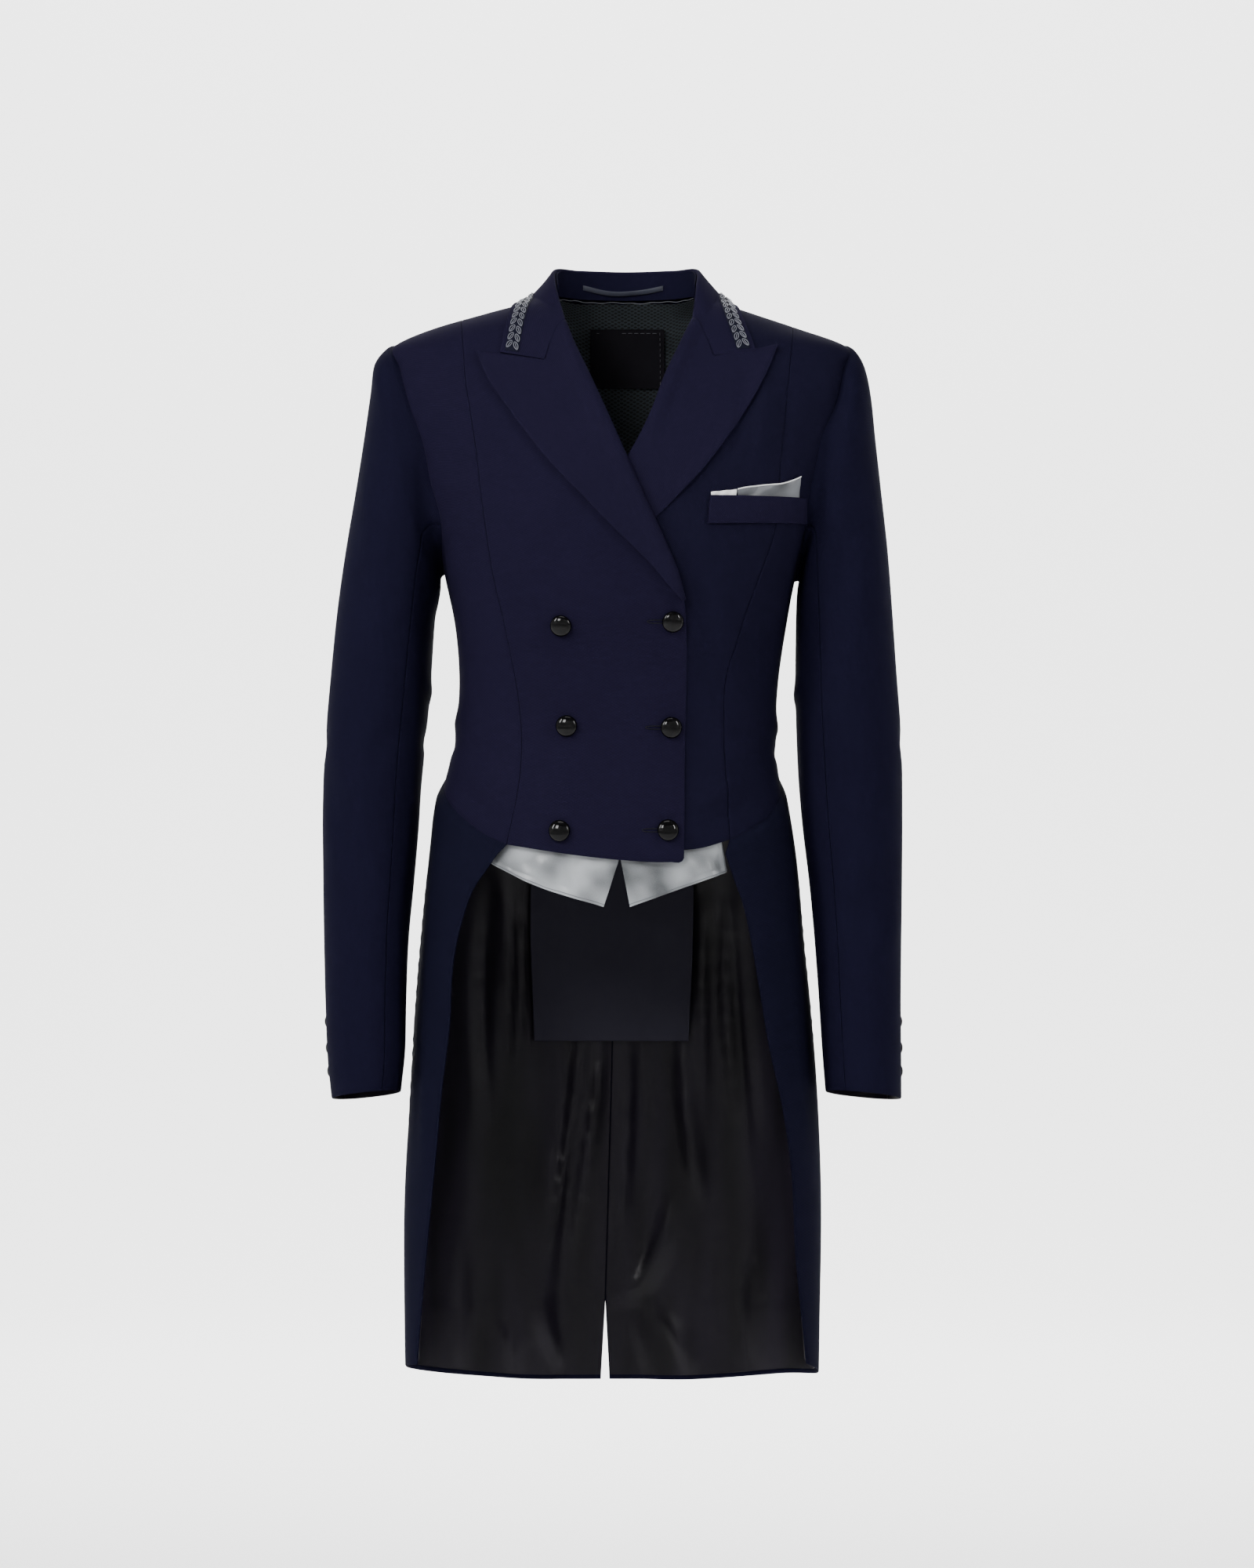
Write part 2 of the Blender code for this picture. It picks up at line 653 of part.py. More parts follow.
def tail_points(side):
    """The outer face of a tail: rows run down, columns from the centre back to the front edge."""
    sign = 1 if side == "left" else -1
    back, front = waist(side, WAIST_COLUMNS, TAIL_BACK_COLUMNS)
    top = joined(back, front)
    seam = [(TAIL_SEAM_X[0], WAIST_BACK_Z), (TAIL_SEAM_X[0] - 0.004, -0.60), (TAIL_SEAM_X[1], VENT_TOP_Z)]
    vent = [seam[-1], (TAIL_SEAM_X[1] + sign * VENT_HALF_GAP, HEM_BACK_Z)]
    centre = joined(through(on_back(seam), TAIL_ROWS - 3), through(on_back(vent), 3))
    edge = through(on_front(TAIL_EDGE[side]), TAIL_ROWS)
    edge[0] = front[-1]
    half = abs(at_side(side, HEM_SIDE_Z[side])[0, 0])
    rises = ((0.34, 0.0), (0.60, 0.003), (0.82, 0.008))
    hem = [(sign * half * share, HEM_BACK_Z + rise) for share, rise in rises]
    bottom = np.concatenate([centre[-1:], on_back(hem), at_side(side, HEM_SIDE_Z[side]), edge[-1:]])
    points = to_form(filled(centre, edge, top, through(bottom, len(top) - 1)))
    below = np.linalg.norm(points - points[:1], axis=-1)
    spring = TAIL_SPRING * ease(below / TAIL_SPRING_HEIGHT)
    return raised(points, spring + flute_height(points))


def facing_in(grid, distance):
    """A grid moved towards the coat's middle line by this distance, along the way that it faces."""
    normals = grid_normals(grid)
    outward = np.sign(np.sum(normals * (grid * (1, 1, 0))))
    return grid - normals * outward * distance


def add_tails(finish, satin):
    for side in ("right", "left"):
        outer = tail_points(side)
        wool = trimmed(facing_in(outer, CLOTH), "lt", 0.0004)
        cloth(f"{side}_tail", facing_out(wool), CLOTH, finish)
        inner = facing_in(outer, CLOTH + LINING_GAP + LINING)
        inner = trimmed(inner, "r", LINING_INSET)
        inner = trimmed(inner, "b", LINING_HEM_INSET)
        inner = trimmed(inner, "lt", 0.0006)
        cloth(f"{side}_tail_lining", facing_out(inner), LINING, satin)


def sleeve_rings(side):
    """The rings of a sleeve's outer face, from the armhole to the cuff."""
    front, back = armhole(side)
    hole = np.concatenate([front, back[-2:0:-1]])
    up, forward = ring_turns()
    rings = []
    for top_z, under_z, right_top, right_under, left_top, left_under, middle_y, half_y in SLEEVE:
        top_x, under_x = (right_top, right_under) if side == "right" else (left_top, left_under)
        share = (1 + up) / 2
        x = under_x + share * (top_x - under_x)
        z = under_z + share * (top_z - under_z)
        rings.append(np.stack([x, middle_y - half_y * forward, z], axis=-1))
    rings = np.array(rings)
    rings[0] = 0.6 * rings[0] + 0.4 * raised(hole, np.full(RING, CAP_START))
    rings[:3] = kept_outside(rings[:3], 0.0040)
    start = raised(hole, np.full(RING, ARMHOLE_SEAM))
    start += unit(rings[0] - start) * 1.5 * ARMHOLE_SEAM
    return np.concatenate([start[None], rings])


def add_sleeves(finish):
    for side in ("right", "left"):
        rings = sleeve_rings(side)
        core = rings.mean(axis=1, keepdims=True)
        closed = np.concatenate([rings[:, -1:], rings, rings[:, :1]], axis=1)
        outward = grid_normals(closed)[:, 1:-1]
        outward *= np.sign(np.sum(outward * (rings - core)))
        rings = rings - outward * CLOTH
        top = np.arange(BACK_SEAM_AT, FRONT_SEAM_AT + 1) % RING
        under = np.arange(FRONT_SEAM_AT, RING + BACK_SEAM_AT + 1) % RING
        for name, columns in (("top_sleeve", top), ("under_sleeve", under)):
            grid = facing_out(rings[:, columns], core)
            cloth(f"{side}_{name}", trimmed(grid, "lr"), CLOTH, finish)


def lapel(side, finish):
    """The turned-back top of a front, from its peak to the break point, rolled along the roll line."""
    rows = 14
    outer = through(on_front(LAPEL_EDGE[side]), rows)
    roll = through(on_front(ROLL[side]), rows)
    gorge = on_front(GORGE[side])
    corner = gorge[-1:]
    top = joined(
        through(np.concatenate([on_front([PEAK[side]]), corner]), 3),
        through(gorge[::-1], 3),
    )
    bottom = through(np.concatenate([outer[-1:], roll[-1:]]), 6)
    if side == "right":
        grid = filled(outer, roll, top, bottom)
    else:
        grid = filled(roll, outer, top[::-1], bottom[::-1])
    points = to_form(grid)
    edge = points[:, -1:] if side == "right" else points[:, :1]
    from_roll = np.linalg.norm(points - edge, axis=-1)
    height, distance, width = LAPEL_SWELL
    swell = height * np.exp(-(((from_roll - distance) / width) ** 2)) * ease(from_roll / 0.004)
    tucked = overlap_depth(points) if side == "left" else untucked(points)
    points = raised(points, LAYER - CLOTH - tucked + swell * (1 - ease(tucked / LAYER)))
    cloth(f"{side}_lapel", facing_out(trimmed(points, "t", 0.0004)), CLOTH, finish)


def mirrored(places):
    """A run round the neck from its left half, given from the centre back: right end first."""
    right = [(COLLAR_X - x, y, z) for x, y, z in places[::-1]]
    left = [(COLLAR_X + x, y, z) for x, y, z in places[1:]]
    return right + left


def collar_ends():
    """The two front ends of the collar, along the gorge and the notch to the collar's points."""
    ends = {}
    for side in ("right", "left"):
        gorge = through(on_front(GORGE[side]), 3)
        notch = through(on_front([GORGE[side][-1], COLLAR_POINT[side]]), 3)
        ends[side] = joined(gorge, notch)
    return ends


def collar_fall():
    """The turned-down part of the collar: rows run from the fold to the outer edge."""
    ends = collar_ends()
    fold = through([ends["right"][0], *mirrored(FOLD), ends["left"][0]], COLLAR_COLUMNS)
    edge = through([ends["right"][-1], *mirrored(COLLAR_EDGE), ends["left"][-1]], COLLAR_COLUMNS)
    fine = 24
    down = np.linspace(0, 1, fine + 1)[:, None, None]
    grid = (1 - down) * fold + down * edge
    across = np.linspace(0, 1, COLLAR_COLUMNS + 1)[None, :, None]
    for side, near in (("right", across), ("left", 1 - across)):
        shape = through_corner(ends[side], fine)[:, None]
        straight = (1 - down) * shape[0] + down * shape[-1]
        grid = grid + (shape - straight) * (1 - ease(near / COLLAR_END_SHARE))
    grid = kept_outside(grid, LAYER - CLOTH + 0.0004)
    rows = []
    for column in grid.transpose(1, 0, 2)[:, ::-1]:
        length = np.concatenate([[0], np.cumsum(np.linalg.norm(np.diff(column, axis=0), axis=1))])
        rest = np.linspace(BRAID_FROM_EDGE[1], length[-1], 5)
        at = np.concatenate([[0, BRAID_FROM_EDGE[0], sum(BRAID_FROM_EDGE) / 2], rest])
        rows.append([[np.interp(d, length, column[:, k]) for k in range(3)] for d in at])
    return np.array(rows).transpose(1, 0, 2)[::-1]


def through_corner(points, count):
    """count + 1 evenly spaced points along straight runs between these."""
    length = np.concatenate([[0], np.cumsum(np.linalg.norm(np.diff(points, axis=0), axis=1))])
    at = np.linspace(0, length[-1], count + 1)
    return np.stack([np.interp(at, length, points[:, k]) for k in range(3)], axis=1)


def add_collar(finish, silver):
    fall = facing_out(collar_fall())
    cloth("collar_fall", trimmed(fall, "lr", 0.0006), CLOTH, finish)
    lifted = fall + grid_normals(fall) * (CLOTH + REST_GAP)
    cloth("leaf_braid", lifted[-4:-1, 1:-1], LINING, silver)

    seam = through(mirrored(NECK_SEAM), STAND_COLUMNS)
    top = through(mirrored(FOLD), STAND_COLUMNS)
    stand = np.stack([top, (top + seam) / 2, seam])
    inwards = unit((np.array([COLLAR_X, 0.005, 0]) - stand) * (1, 1, 0))
    stand = stand + inwards * STAND_INSIDE
    cloth("collar_stand", facing_out(stand), CLOTH, finish)
    return stand


def patch(name, places, wall, height, finish, columns, rows=1, side=on_front):
    """A small four-cornered piece on the form: top left, top right, bottom left, bottom right."""
    places = np.array(places, float)
    down = np.linspace(0, 1, rows + 1)[:, None, None]
    across = np.linspace(0, 1, columns + 1)[None, :, None]
    top = (1 - across) * places[0] + across * places[1]
    low = (1 - across) * places[2] + across * places[3]
    flat_places = (1 - down) * top + down * low
    points = side(flat_places.reshape(-1, 2)).reshape(rows + 1, columns + 1, 3)
    return cloth(name, facing_out(raised(points, np.full(points.shape[:-1], height))), wall, finish)


def add_pocket(finish, white, silver):
    patch("pocket_welt", WELT, CLOTH, REST_GAP + 0.0004, finish, 12, 2)
    tops = np.array(SQUARE_TOP)
    welt_top = WELT[0][1] + SEAM * 2
    fold_z = np.interp(SQUARE_FOLD, tops[:, 0], tops[:, 1])
    gap = SEAM / 2
    first = (tops[0], (SQUARE_FOLD - gap, fold_z), (tops[0, 0], welt_top), (SQUARE_FOLD - gap, welt_top))
    patch("pocket_square_white", first, LINING, REST_GAP + 0.0003, white, 2)
    last = ((SQUARE_FOLD + gap, fold_z), tops[-1], (SQUARE_FOLD + gap, welt_top), (tops[-1, 0], welt_top))
    patch("pocket_square_silver", last, LINING, REST_GAP + 0.0003, silver, 5)


def add_waistcoat(silver):
    """Two satin points that hang behind the front hem."""
    for side in ("right", "left"):
        low = through(on_front(WAISTCOAT_EDGE[side]), 8)
        outer_end = (low[-1, 0] * 0.97, WAISTCOAT_TOP_Z + 0.004)
        high_places = [(WAISTCOAT_CENTRE_X[side], WAISTCOAT_TOP_Z), outer_end]
        mid = (0.5 * (high_places[0][0] + high_places[1][0]), WAISTCOAT_TOP_Z)
        high = through(on_front([high_places[0], mid, high_places[1]]), 8)
        centre = through(np.stack([high[0], low[0]]), 3)
        end = through(np.stack([high[-1], low[-1]]), 3)
        points = to_form(filled(centre, end, high, low))
        behind = 1.1 * LAYER + CLOTH + 0.0006 + LINING
        points = raised(points, np.full(points.shape[:-1], -behind))
        cloth(f"{side}_waistcoat_point", facing_out(points), LINING, silver)


def across_back(right, left, columns):
    """The columns nearest the centre back of a right and a left grid, as one grid."""
    middle = (right[:, :1] + left[:, :1]) / 2
    return np.concatenate([right[:, columns:0:-1], middle, left[:, 1 : columns + 1]], axis=1)


def ended_at(grid, height):
    """A grid's rows down to this height, the last one cut off there."""
    rows = []
    for column in grid.transpose(1, 0, 2):
        keep = column[column[:, 2] > height + 0.004]
        low = [np.interp(-height, -column[:, 2], column[:, k]) for k in range(3)]
        rows.append((len(keep), column, low))
    count = min(kept for kept, _, _ in rows)
    return np.array([np.concatenate([column[:count], [low]]) for _, column, low in rows]).transpose(1, 0, 2)


def add_inner_panel(finish):
    """A plain panel that hangs from the waist seam inside the tails."""
    both = across_back(tail_points("right"), tail_points("left"), PANEL_COLUMNS)
    points = facing_in(ended_at(both, PANEL_LOW_Z), CLOTH + 2 * LINING_GAP + 2 * LINING)
    cloth("inner_panel", facing_out(trimmed(points, "t", 0.0010)), LINING, finish)


def add_neck_lining(mesh_finish, black):
    """Mesh inside the upper back, made from the backs' own points, and the blank label on it."""
    both = across_back(back_points("right")[:, ::-1], back_points("left")[:, ::-1], BACK_COLUMNS // 2)
    depth = CLOTH + LINING_GAP + LINING
    points = facing_in(ended_at(both, MESH_LOW_Z), depth)
    cloth("back_neck_lining", facing_out(trimmed(points, "t", 0.0010)), LINING, mesh_finish)
    middle_x, middle_z = LABEL_MIDDLE
    wide, high = LABEL_SIZE[0] / 2, LABEL_SIZE[1] / 2
    label = (
        (middle_x - wide, middle_z + high),
        (middle_x + wide, middle_z + high),
        (middle_x - wide, middle_z - high),
        (middle_x + wide, middle_z - high),
    )
    patch("blank_label", label, LINING, -(depth + REST_GAP + 0.0008 + LINING), black, 6, 5, on_back)


def add_hanger_loop(stand, finish):
    """A short tape across the inside of the collar stand."""
    line = stand[1][np.argsort(stand[1][:, 0])]
    back = line[line[:, 1] > 0.015]
    points = []
    for share in np.linspace(0, 1, 9):
        x = LOOP_ENDS[0][0] + share * (LOOP_ENDS[1][0] - LOOP_ENDS[0][0])
        sag = 4 * share * (1 - share)
        y = np.interp(x, back[:, 0], back[:, 1]) - LOOP_RADIUS - REST_GAP - 0.0004 - 0.0012 * sag
        points.append((x, y, LOOP_ENDS[0][1] - LOOP_SAG * sag))
    curve = bpy.data.curves.new("hanger_loop", "CURVE")
    curve.dimensions = "3D"
    curve.bevel_depth = LOOP_RADIUS
    curve.bevel_resolution = 1
    curve.use_fill_caps = True
    spline = curve.splines.new("POLY")
    spline.points.add(len(points) - 1)
    for point, place in zip(spline.points, points):
        point.co = (*place, 1)
    add("hanger_loop", curve, finish)


def dome_profile(name, size, steps):
    """Half the outline of a domed button, from its top round the rim to the middle of its flat back."""
    radius, height = size
    rim = 0.22 * height
    points = [(0, 0, height)]
    for step in range(1, steps + 1):
        turn = step / steps * math.pi / 2
        points.append((radius * math.sin(turn), 0, rim + (height - rim) * math.cos(turn)))
    points += [(radius * 0.94, 0, 0), (0, 0, 0)]
    mesh = bpy.data.meshes.new(name)
    mesh.from_pydata(points, [(k, k + 1) for k in range(len(points) - 1)], [])
    return mesh


def place_button(name, profile, sides, point, facing, finish):
    """A turned button with its back just clear of a point, along the direction that the cloth faces there."""
    obj = add(name, profile, finish)
    turned = obj.modifiers.new("turned", "SCREW")
    turned.steps = sides
    turned.render_steps = sides
    turned.use_merge_vertices = True
    turned.merge_threshold = 0.00001
    facing = Vector(facing).normalized()
    obj.rotation_mode = "QUATERNION"
    obj.rotation_quaternion = Vector((0, 0, 1)).rotation_difference(facing)
    obj.location = Vector(point) + facing * (SEAM + REST_GAP)


def add_front_buttons(finish):
    profile = dome_profile("front_button", FRONT_BUTTON, 4)
    for number, place in enumerate(FRONT_BUTTONS, 1):
        point = on_front([place])
        place_button(f"front_button_{number}", profile, 16, point[0], gradient(point)[0], finish)


def add_cuff_buttons(side, profile, finish):
    """A row of buttons up the outside of a cuff, on the flat between two columns of the sleeve's points."""
    rings = sleeve_rings(side)
    share = CUFF_BUTTON_TURN / (2 * math.pi / RING)
    column = int(share)
    first, second = rings[:, -column], rings[:, -column - 1]
    line = first + (second - first) * (share - column)
    for number, height in enumerate(CUFF_BUTTON_HEIGHTS, 1):
        row = int(np.argmax(line[:, 2] < height))
        part = (line[row - 1, 2] - height) / (line[row - 1, 2] - line[row, 2])
        point = line[row - 1] + (line[row] - line[row - 1]) * part
        facing = np.cross(second[row] - first[row], line[row] - line[row - 1])
        facing *= np.sign(np.dot(facing, point - rings[row].mean(axis=0)))
        place_button(f"{side}_cuff_button_{number}", profile, 12, point, facing, finish)


for old in list(bpy.data.objects):
    bpy.data.objects.remove(old, do_unlink=True)

COAT = bpy.data.collections.new("dressage_tailcoat")
bpy.context.scene.collection.children.link(COAT)

navy = material("navy wool cloth", (0.006, 0.007, 0.017), 0.85)
satin = material("black satin", (0.005, 0.005, 0.006), 0.35)
matte = material("matte black cloth", (0.007, 0.007, 0.009), 0.9)
silver = material("silver satin", (0.36, 0.38, 0.40), 0.4)
white = material("white cotton", (0.80, 0.80, 0.80), 0.8)
mesh_black = material("charcoal mesh", (0.03, 0.035, 0.04), 0.8)
gloss = material("gloss black plastic", (0.004, 0.004, 0.005), 0.08)

for which in ("right", "left"):
    front_panel(which, navy)
    side_front(which, navy)
    panel(f"{which}_back", back_points(which), untucked, navy, RING // 4 + 1)
    side_back(which, navy)
    lapel(which, navy)
add_tails(navy, satin)
add_sleeves(navy)
collar_stand = add_collar(navy, silver)
add_pocket(navy, white, silver)
add_waistcoat(silver)
add_inner_panel(matte)
add_neck_lining(mesh_black, matte)
add_hanger_loop(collar_stand, navy)
add_front_buttons(gloss)
small = dome_profile("cuff_button", CUFF_BUTTON, 3)
for which in ("right", "left"):
    add_cuff_buttons(which, small, gloss)
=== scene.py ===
"""A women's dressage tailcoat in navy wool, dressed for its picture: cloth, satin, braid, buttons and sewing.

Metres, +Z up, the front faces -Y. Right and left are the wearer's, so right is -X.
Each piece of cloth is drawn again over its solid, finer, with its creases and turned edges.
"""

import math

import bpy
import numpy as np
from mathutils import Matrix, Vector


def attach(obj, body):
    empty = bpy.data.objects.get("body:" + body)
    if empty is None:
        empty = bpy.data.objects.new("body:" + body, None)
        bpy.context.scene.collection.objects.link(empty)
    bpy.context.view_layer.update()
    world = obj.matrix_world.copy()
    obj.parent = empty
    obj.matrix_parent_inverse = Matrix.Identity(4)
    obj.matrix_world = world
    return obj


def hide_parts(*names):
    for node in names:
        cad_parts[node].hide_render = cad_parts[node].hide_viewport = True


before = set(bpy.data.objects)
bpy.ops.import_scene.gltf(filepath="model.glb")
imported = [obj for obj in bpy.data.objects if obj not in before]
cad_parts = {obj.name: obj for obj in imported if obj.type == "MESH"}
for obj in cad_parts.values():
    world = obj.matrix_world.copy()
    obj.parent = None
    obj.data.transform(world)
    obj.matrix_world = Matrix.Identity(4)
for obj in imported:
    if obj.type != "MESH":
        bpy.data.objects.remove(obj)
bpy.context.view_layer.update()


# Cloth
CLOTH = 0.0015  # wall of the wool cloth
LINING = 0.0010  # wall of satin, mesh and label
SEAM = 0.0003  # gap between two pieces sewn edge to edge
LAYER = 0.0022  # from the face of a layer to the face of the one that lies on it
LINING_GAP = 0.0006  # between a lining and the cloth that it lines
REST_GAP = 0.0004  # between trim and the cloth that it lies on
RIBBON = 0.0005  # wall of the braid's ground
TAPE = 0.0006  # wall of the hanger loop and the pocket square

# Sewing thread, as drawn: half its thickness
STITCH_THREAD = 0.00022
NECK_THREAD = 0.00024
LEAF_THREAD = 0.00030
HEM_THREAD = 0.00032
BUTTONHOLE_THREAD = 0.0004

# Buttons: radius and height of the dome
FRONT_BUTTON = (0.0090, 0.0058)
CUFF_BUTTON = (0.0055, 0.0038)

# Columns: height, right side x, left side x, front depth, back depth, squareness of the section
FORM = (
    (-0.910, -0.1754, 0.1662, 0.095, 0.096, 2.4),
    (-0.845, -0.1764, 0.1672, 0.097, 0.098, 2.4),
    (-0.740, -0.1762, 0.1683, 0.100, 0.102, 2.4),
    (-0.634, -0.1696, 0.1637, 0.104, 0.106, 2.4),
    (-0.528, -0.1617, 0.1538, 0.107, 0.106, 2.4),
    (-0.450, -0.1550, 0.1465, 0.105, 0.094, 2.4),
    (-0.410, -0.1500, 0.1400, 0.101, 0.084, 2.4),
    (-0.385, -0.1430, 0.1350, 0.098, 0.078, 2.4),
    (-0.343, -0.1350, 0.1333, 0.097, 0.075, 2.4),
    (-0.317, -0.1333, 0.1346, 0.100, 0.078, 2.4),
    (-0.264, -0.1366, 0.1419, 0.110, 0.088, 2.5),
    (-0.218, -0.1460, 0.1510, 0.118, 0.097, 2.6),
    (-0.190, -0.1510, 0.1600, 0.119, 0.101, 2.6),
    (-0.150, -0.1660, 0.1730, 0.113, 0.104, 2.5),
    (-0.112, -0.1790, 0.1860, 0.102, 0.102, 2.5),
    (-0.080, -0.1900, 0.1945, 0.089, 0.097, 2.6),
    (-0.050, -0.1915, 0.1955, 0.074, 0.089, 2.6),
    (-0.027, -0.1870, 0.1905, 0.059, 0.081, 2.3),
    (-0.013, -0.1550, 0.1520, 0.050, 0.074, 2.1),
    (0.000, -0.1100, 0.1130, 0.038, 0.067, 2.1),
    (0.014, -0.0600, 0.0730, 0.024, 0.057, 2.1),
    (0.045, -0.0480, 0.0620, 0.014, 0.050, 2.1),
)
NECK_Z = 0.014
SHOULDER_Z = -0.027
SIGN = {"right": -1, "left": 1}

# Seams on the front, each a row of (x, height) from the top down
PRINCESS = {
    "right": (
        (-0.1290, -0.030), (-0.1265, -0.060), (-0.1207, -0.097), (-0.1086, -0.189), (-0.1009, -0.234),
        (-0.0894, -0.286), (-0.0816, -0.331), (-0.0796, -0.370), (-0.0828, -0.402), (-0.0920, -0.446),
    ),
    "left": (
        (0.1455, -0.030), (0.1415, -0.070), (0.1390, -0.100), (0.1359, -0.130), (0.1300, -0.188),
        (0.1117, -0.240), (0.0923, -0.299), (0.0884, -0.350), (0.0917, -0.409), (0.0930, -0.442),
    ),
}
PRINCESS_TOP_X = {"right": -0.130, "left": 0.147}
NECK_X = {"right": -0.060, "left": 0.073}
SHOULDER_X = {"right": -0.187, "left": 0.1905}

# The lapels turn back along the roll lines. The left one runs on under the right front.
ROLL = {
    "right": (
        (-0.0437, -0.0095), (-0.0371, -0.0261), (-0.0187, -0.0656), (-0.0011, -0.1050),
        (0.0208, -0.1548), (0.0389, -0.1943), (0.0500, -0.2200), (0.0563, -0.2443),
    ),
    "left": (
        (0.0629, -0.0071), (0.0509, -0.0322), (0.0391, -0.0575), (0.0267, -0.0903), (0.0112, -0.1188),
        (-0.0150, -0.1600), (-0.0400, -0.2100), (-0.0550, -0.2443),
    ),
}
LAPEL_EDGE = {
    "right": (
        (-0.1181, -0.0363), (-0.1086, -0.0588), (-0.0861, -0.0918), (-0.0580, -0.1285),
        (-0.0282, -0.1600), (0.0015, -0.1905), (0.0266, -0.2143), (0.0520, -0.2440),
    ),
    "left": (
        (0.1334, -0.0312), (0.1266, -0.0484), (0.1106, -0.0795), (0.0902, -0.1104), (0.0706, -0.1362),
        (0.0350, -0.1730), (-0.0080, -0.2120), (-0.0490, -0.2440),
    ),
}
# The gorge seam, where collar and lapel meet, down from the roll line, then the notch out to the points
GORGE = {
    "right": ((-0.0437, -0.0095), (-0.0528, -0.0215), (-0.0602, -0.0446)),
    "left": ((0.0629, -0.0071), (0.0730, -0.0215), (0.0798, -0.0411)),
}
PEAK = {"right": (-0.1181, -0.0363), "left": (0.1334, -0.0312)}
COLLAR_POINT = {"right": (-0.0978, -0.0381), "left": (0.1150, -0.0366)}

LAPEL_SWELL = (0.0030, 0.0070, 0.0080)  # height of the roll, its distance from the roll line, its width
LAPEL_SWELL_START = 0.004  # over what distance it comes up from the roll line
LAPEL_LIFT = (0.0017, 0.0100)  # how far the outer edge stands up, and over what width
GORGE_GAP = 0.0003

FRONT_EDGE = {
    "right": ((0.0563, -0.2443), (0.0577, -0.2990), (0.0562, -0.3700), (0.0552, -0.4570)),
    "left": ((-0.0550, -0.2443), (-0.0560, -0.3400), (-0.0560, -0.4480)),
}
FRONT_HEM = {
    "right": (
        (-0.0920, -0.446), (-0.0567, -0.4516), (-0.0050, -0.4580),
        (0.0440, -0.4605), (0.0534, -0.4600), (0.0552, -0.4570),
    ),
    "left": ((-0.0560, -0.4480), (0.0200, -0.4500), (0.0727, -0.4482), (0.0930, -0.4420)),
}

# The left front's tuck under the right one
TUCK_LAYERS = 1.1  # how many layers deep it lies, and how many more above the break
TUCK_BREAK = (-0.285, 0.030)  # height at which the further layers start, and over what height they come
TUCK_FADE = (0.003, 0.036)  # distance past the right front's edge at which the tuck starts to fade, its width

# How finely the panels are divided
FINE = 6
ROWS_LAPEL = 12 * FINE
ROWS_EDGE = 9 * FINE
FRONT_COLUMNS = 8 * FINE
WAIST_COLUMNS = 5 * FINE
BACK_COLUMNS = 10 * FINE
BACK_ROWS = 12 * FINE

# Armholes, from the shoulder down: front half and back half
ARMHOLE_FRONT = {
    "right": ((-0.184, -0.045), (-0.175, -0.077), (-0.162, -0.115), (-0.1566, -0.143), (-0.148, -0.175)),
    "left": ((0.189, -0.050), (0.182, -0.080), (0.171, -0.105), (0.164, -0.135), (0.1575, -0.172)),
}
ARMHOLE_BACK = {
    "right": ((-0.184, -0.048), (-0.174, -0.080), (-0.164, -0.112), (-0.154, -0.145), (-0.147, -0.190)),
    "left": ((0.186, -0.048), (0.178, -0.080), (0.170, -0.112), (0.161, -0.145), (0.155, -0.190)),
}
ARMHOLE_HALF_WIDTH = 0.051
UNDERARM_Z = {"right": -0.220, "left": -0.226}

# Waist seam: at the centre back, at the side, then points on the front as (x, height)
WAIST_BACK_Z = -0.380
WAIST_SIDE_Z = -0.392
WAIST_QUARTER = (0.110, -0.386)  # halfway round the back, as (distance from centre, height)
WAIST_FRONT = {
    "right": ((-0.1300, -0.4230), (-0.1110, -0.4370), (-0.0920, -0.446)),
    "left": ((0.1250, -0.4230), (0.1080, -0.4350), (0.0930, -0.442)),
}
# Curved seam between back and side back, from the armhole to the waist, as (distance from centre, height)
BACK_PRINCESS = ((0.128, -0.190), (0.088, -0.255), (0.062, -0.320))
BACK_PRINCESS_END = (0.054, -0.382)
CENTRE_BACK_X = 0.004
CENTRE_BACK = ((0.0032, -0.10), (0.0016, -0.25))

# Tails
TAIL_ROWS = 15 * FINE
VENT_ROWS = 3 * FINE
TAIL_BACK_COLUMNS = 8 * FINE
TAIL_SPRING = 0.0030  # how far the tails stand out past the form just under the waist seam
TAIL_SPRING_HEIGHT = 0.014
TAIL_CREASE_FADE = 0.02  # how far the body's creases run on below the waist seam
TAIL_EDGE = {
    "right": (
        (-0.0960, -0.4500), (-0.1062, -0.4654), (-0.1174, -0.4817), (-0.1273, -0.5085),
        (-0.1346, -0.5424), (-0.1379, -0.5951), (-0.1445, -0.6507), (-0.1498, -0.7088),
        (-0.1565, -0.7764), (-0.1655, -0.8803),
    ),
    "left": (
        (0.0868, -0.4490), (0.0938, -0.4699), (0.1033, -0.4965), (0.1095, -0.5251), (0.1167, -0.5661),
        (0.1239, -0.6098), (0.1355, -0.6629), (0.1428, -0.7115), (0.1470, -0.7886), (0.1561, -0.8796),
    ),
}
TAIL_SEAM = ((-0.001, -0.380), (-0.005, -0.600), (-0.0109, -0.834))  # from the waist to the vent's top
VENT_HALF_GAP = 0.0040  # half the vent's width at the hem
HEM_SIDE_Z = {"right": -0.886, "left": -0.891}
HEM_BACK_Z = -0.9066
HEM_RISES = ((0.34, 0.0), (0.60, 0.003), (0.82, 0.008))  # share of the way to the side, height over the back
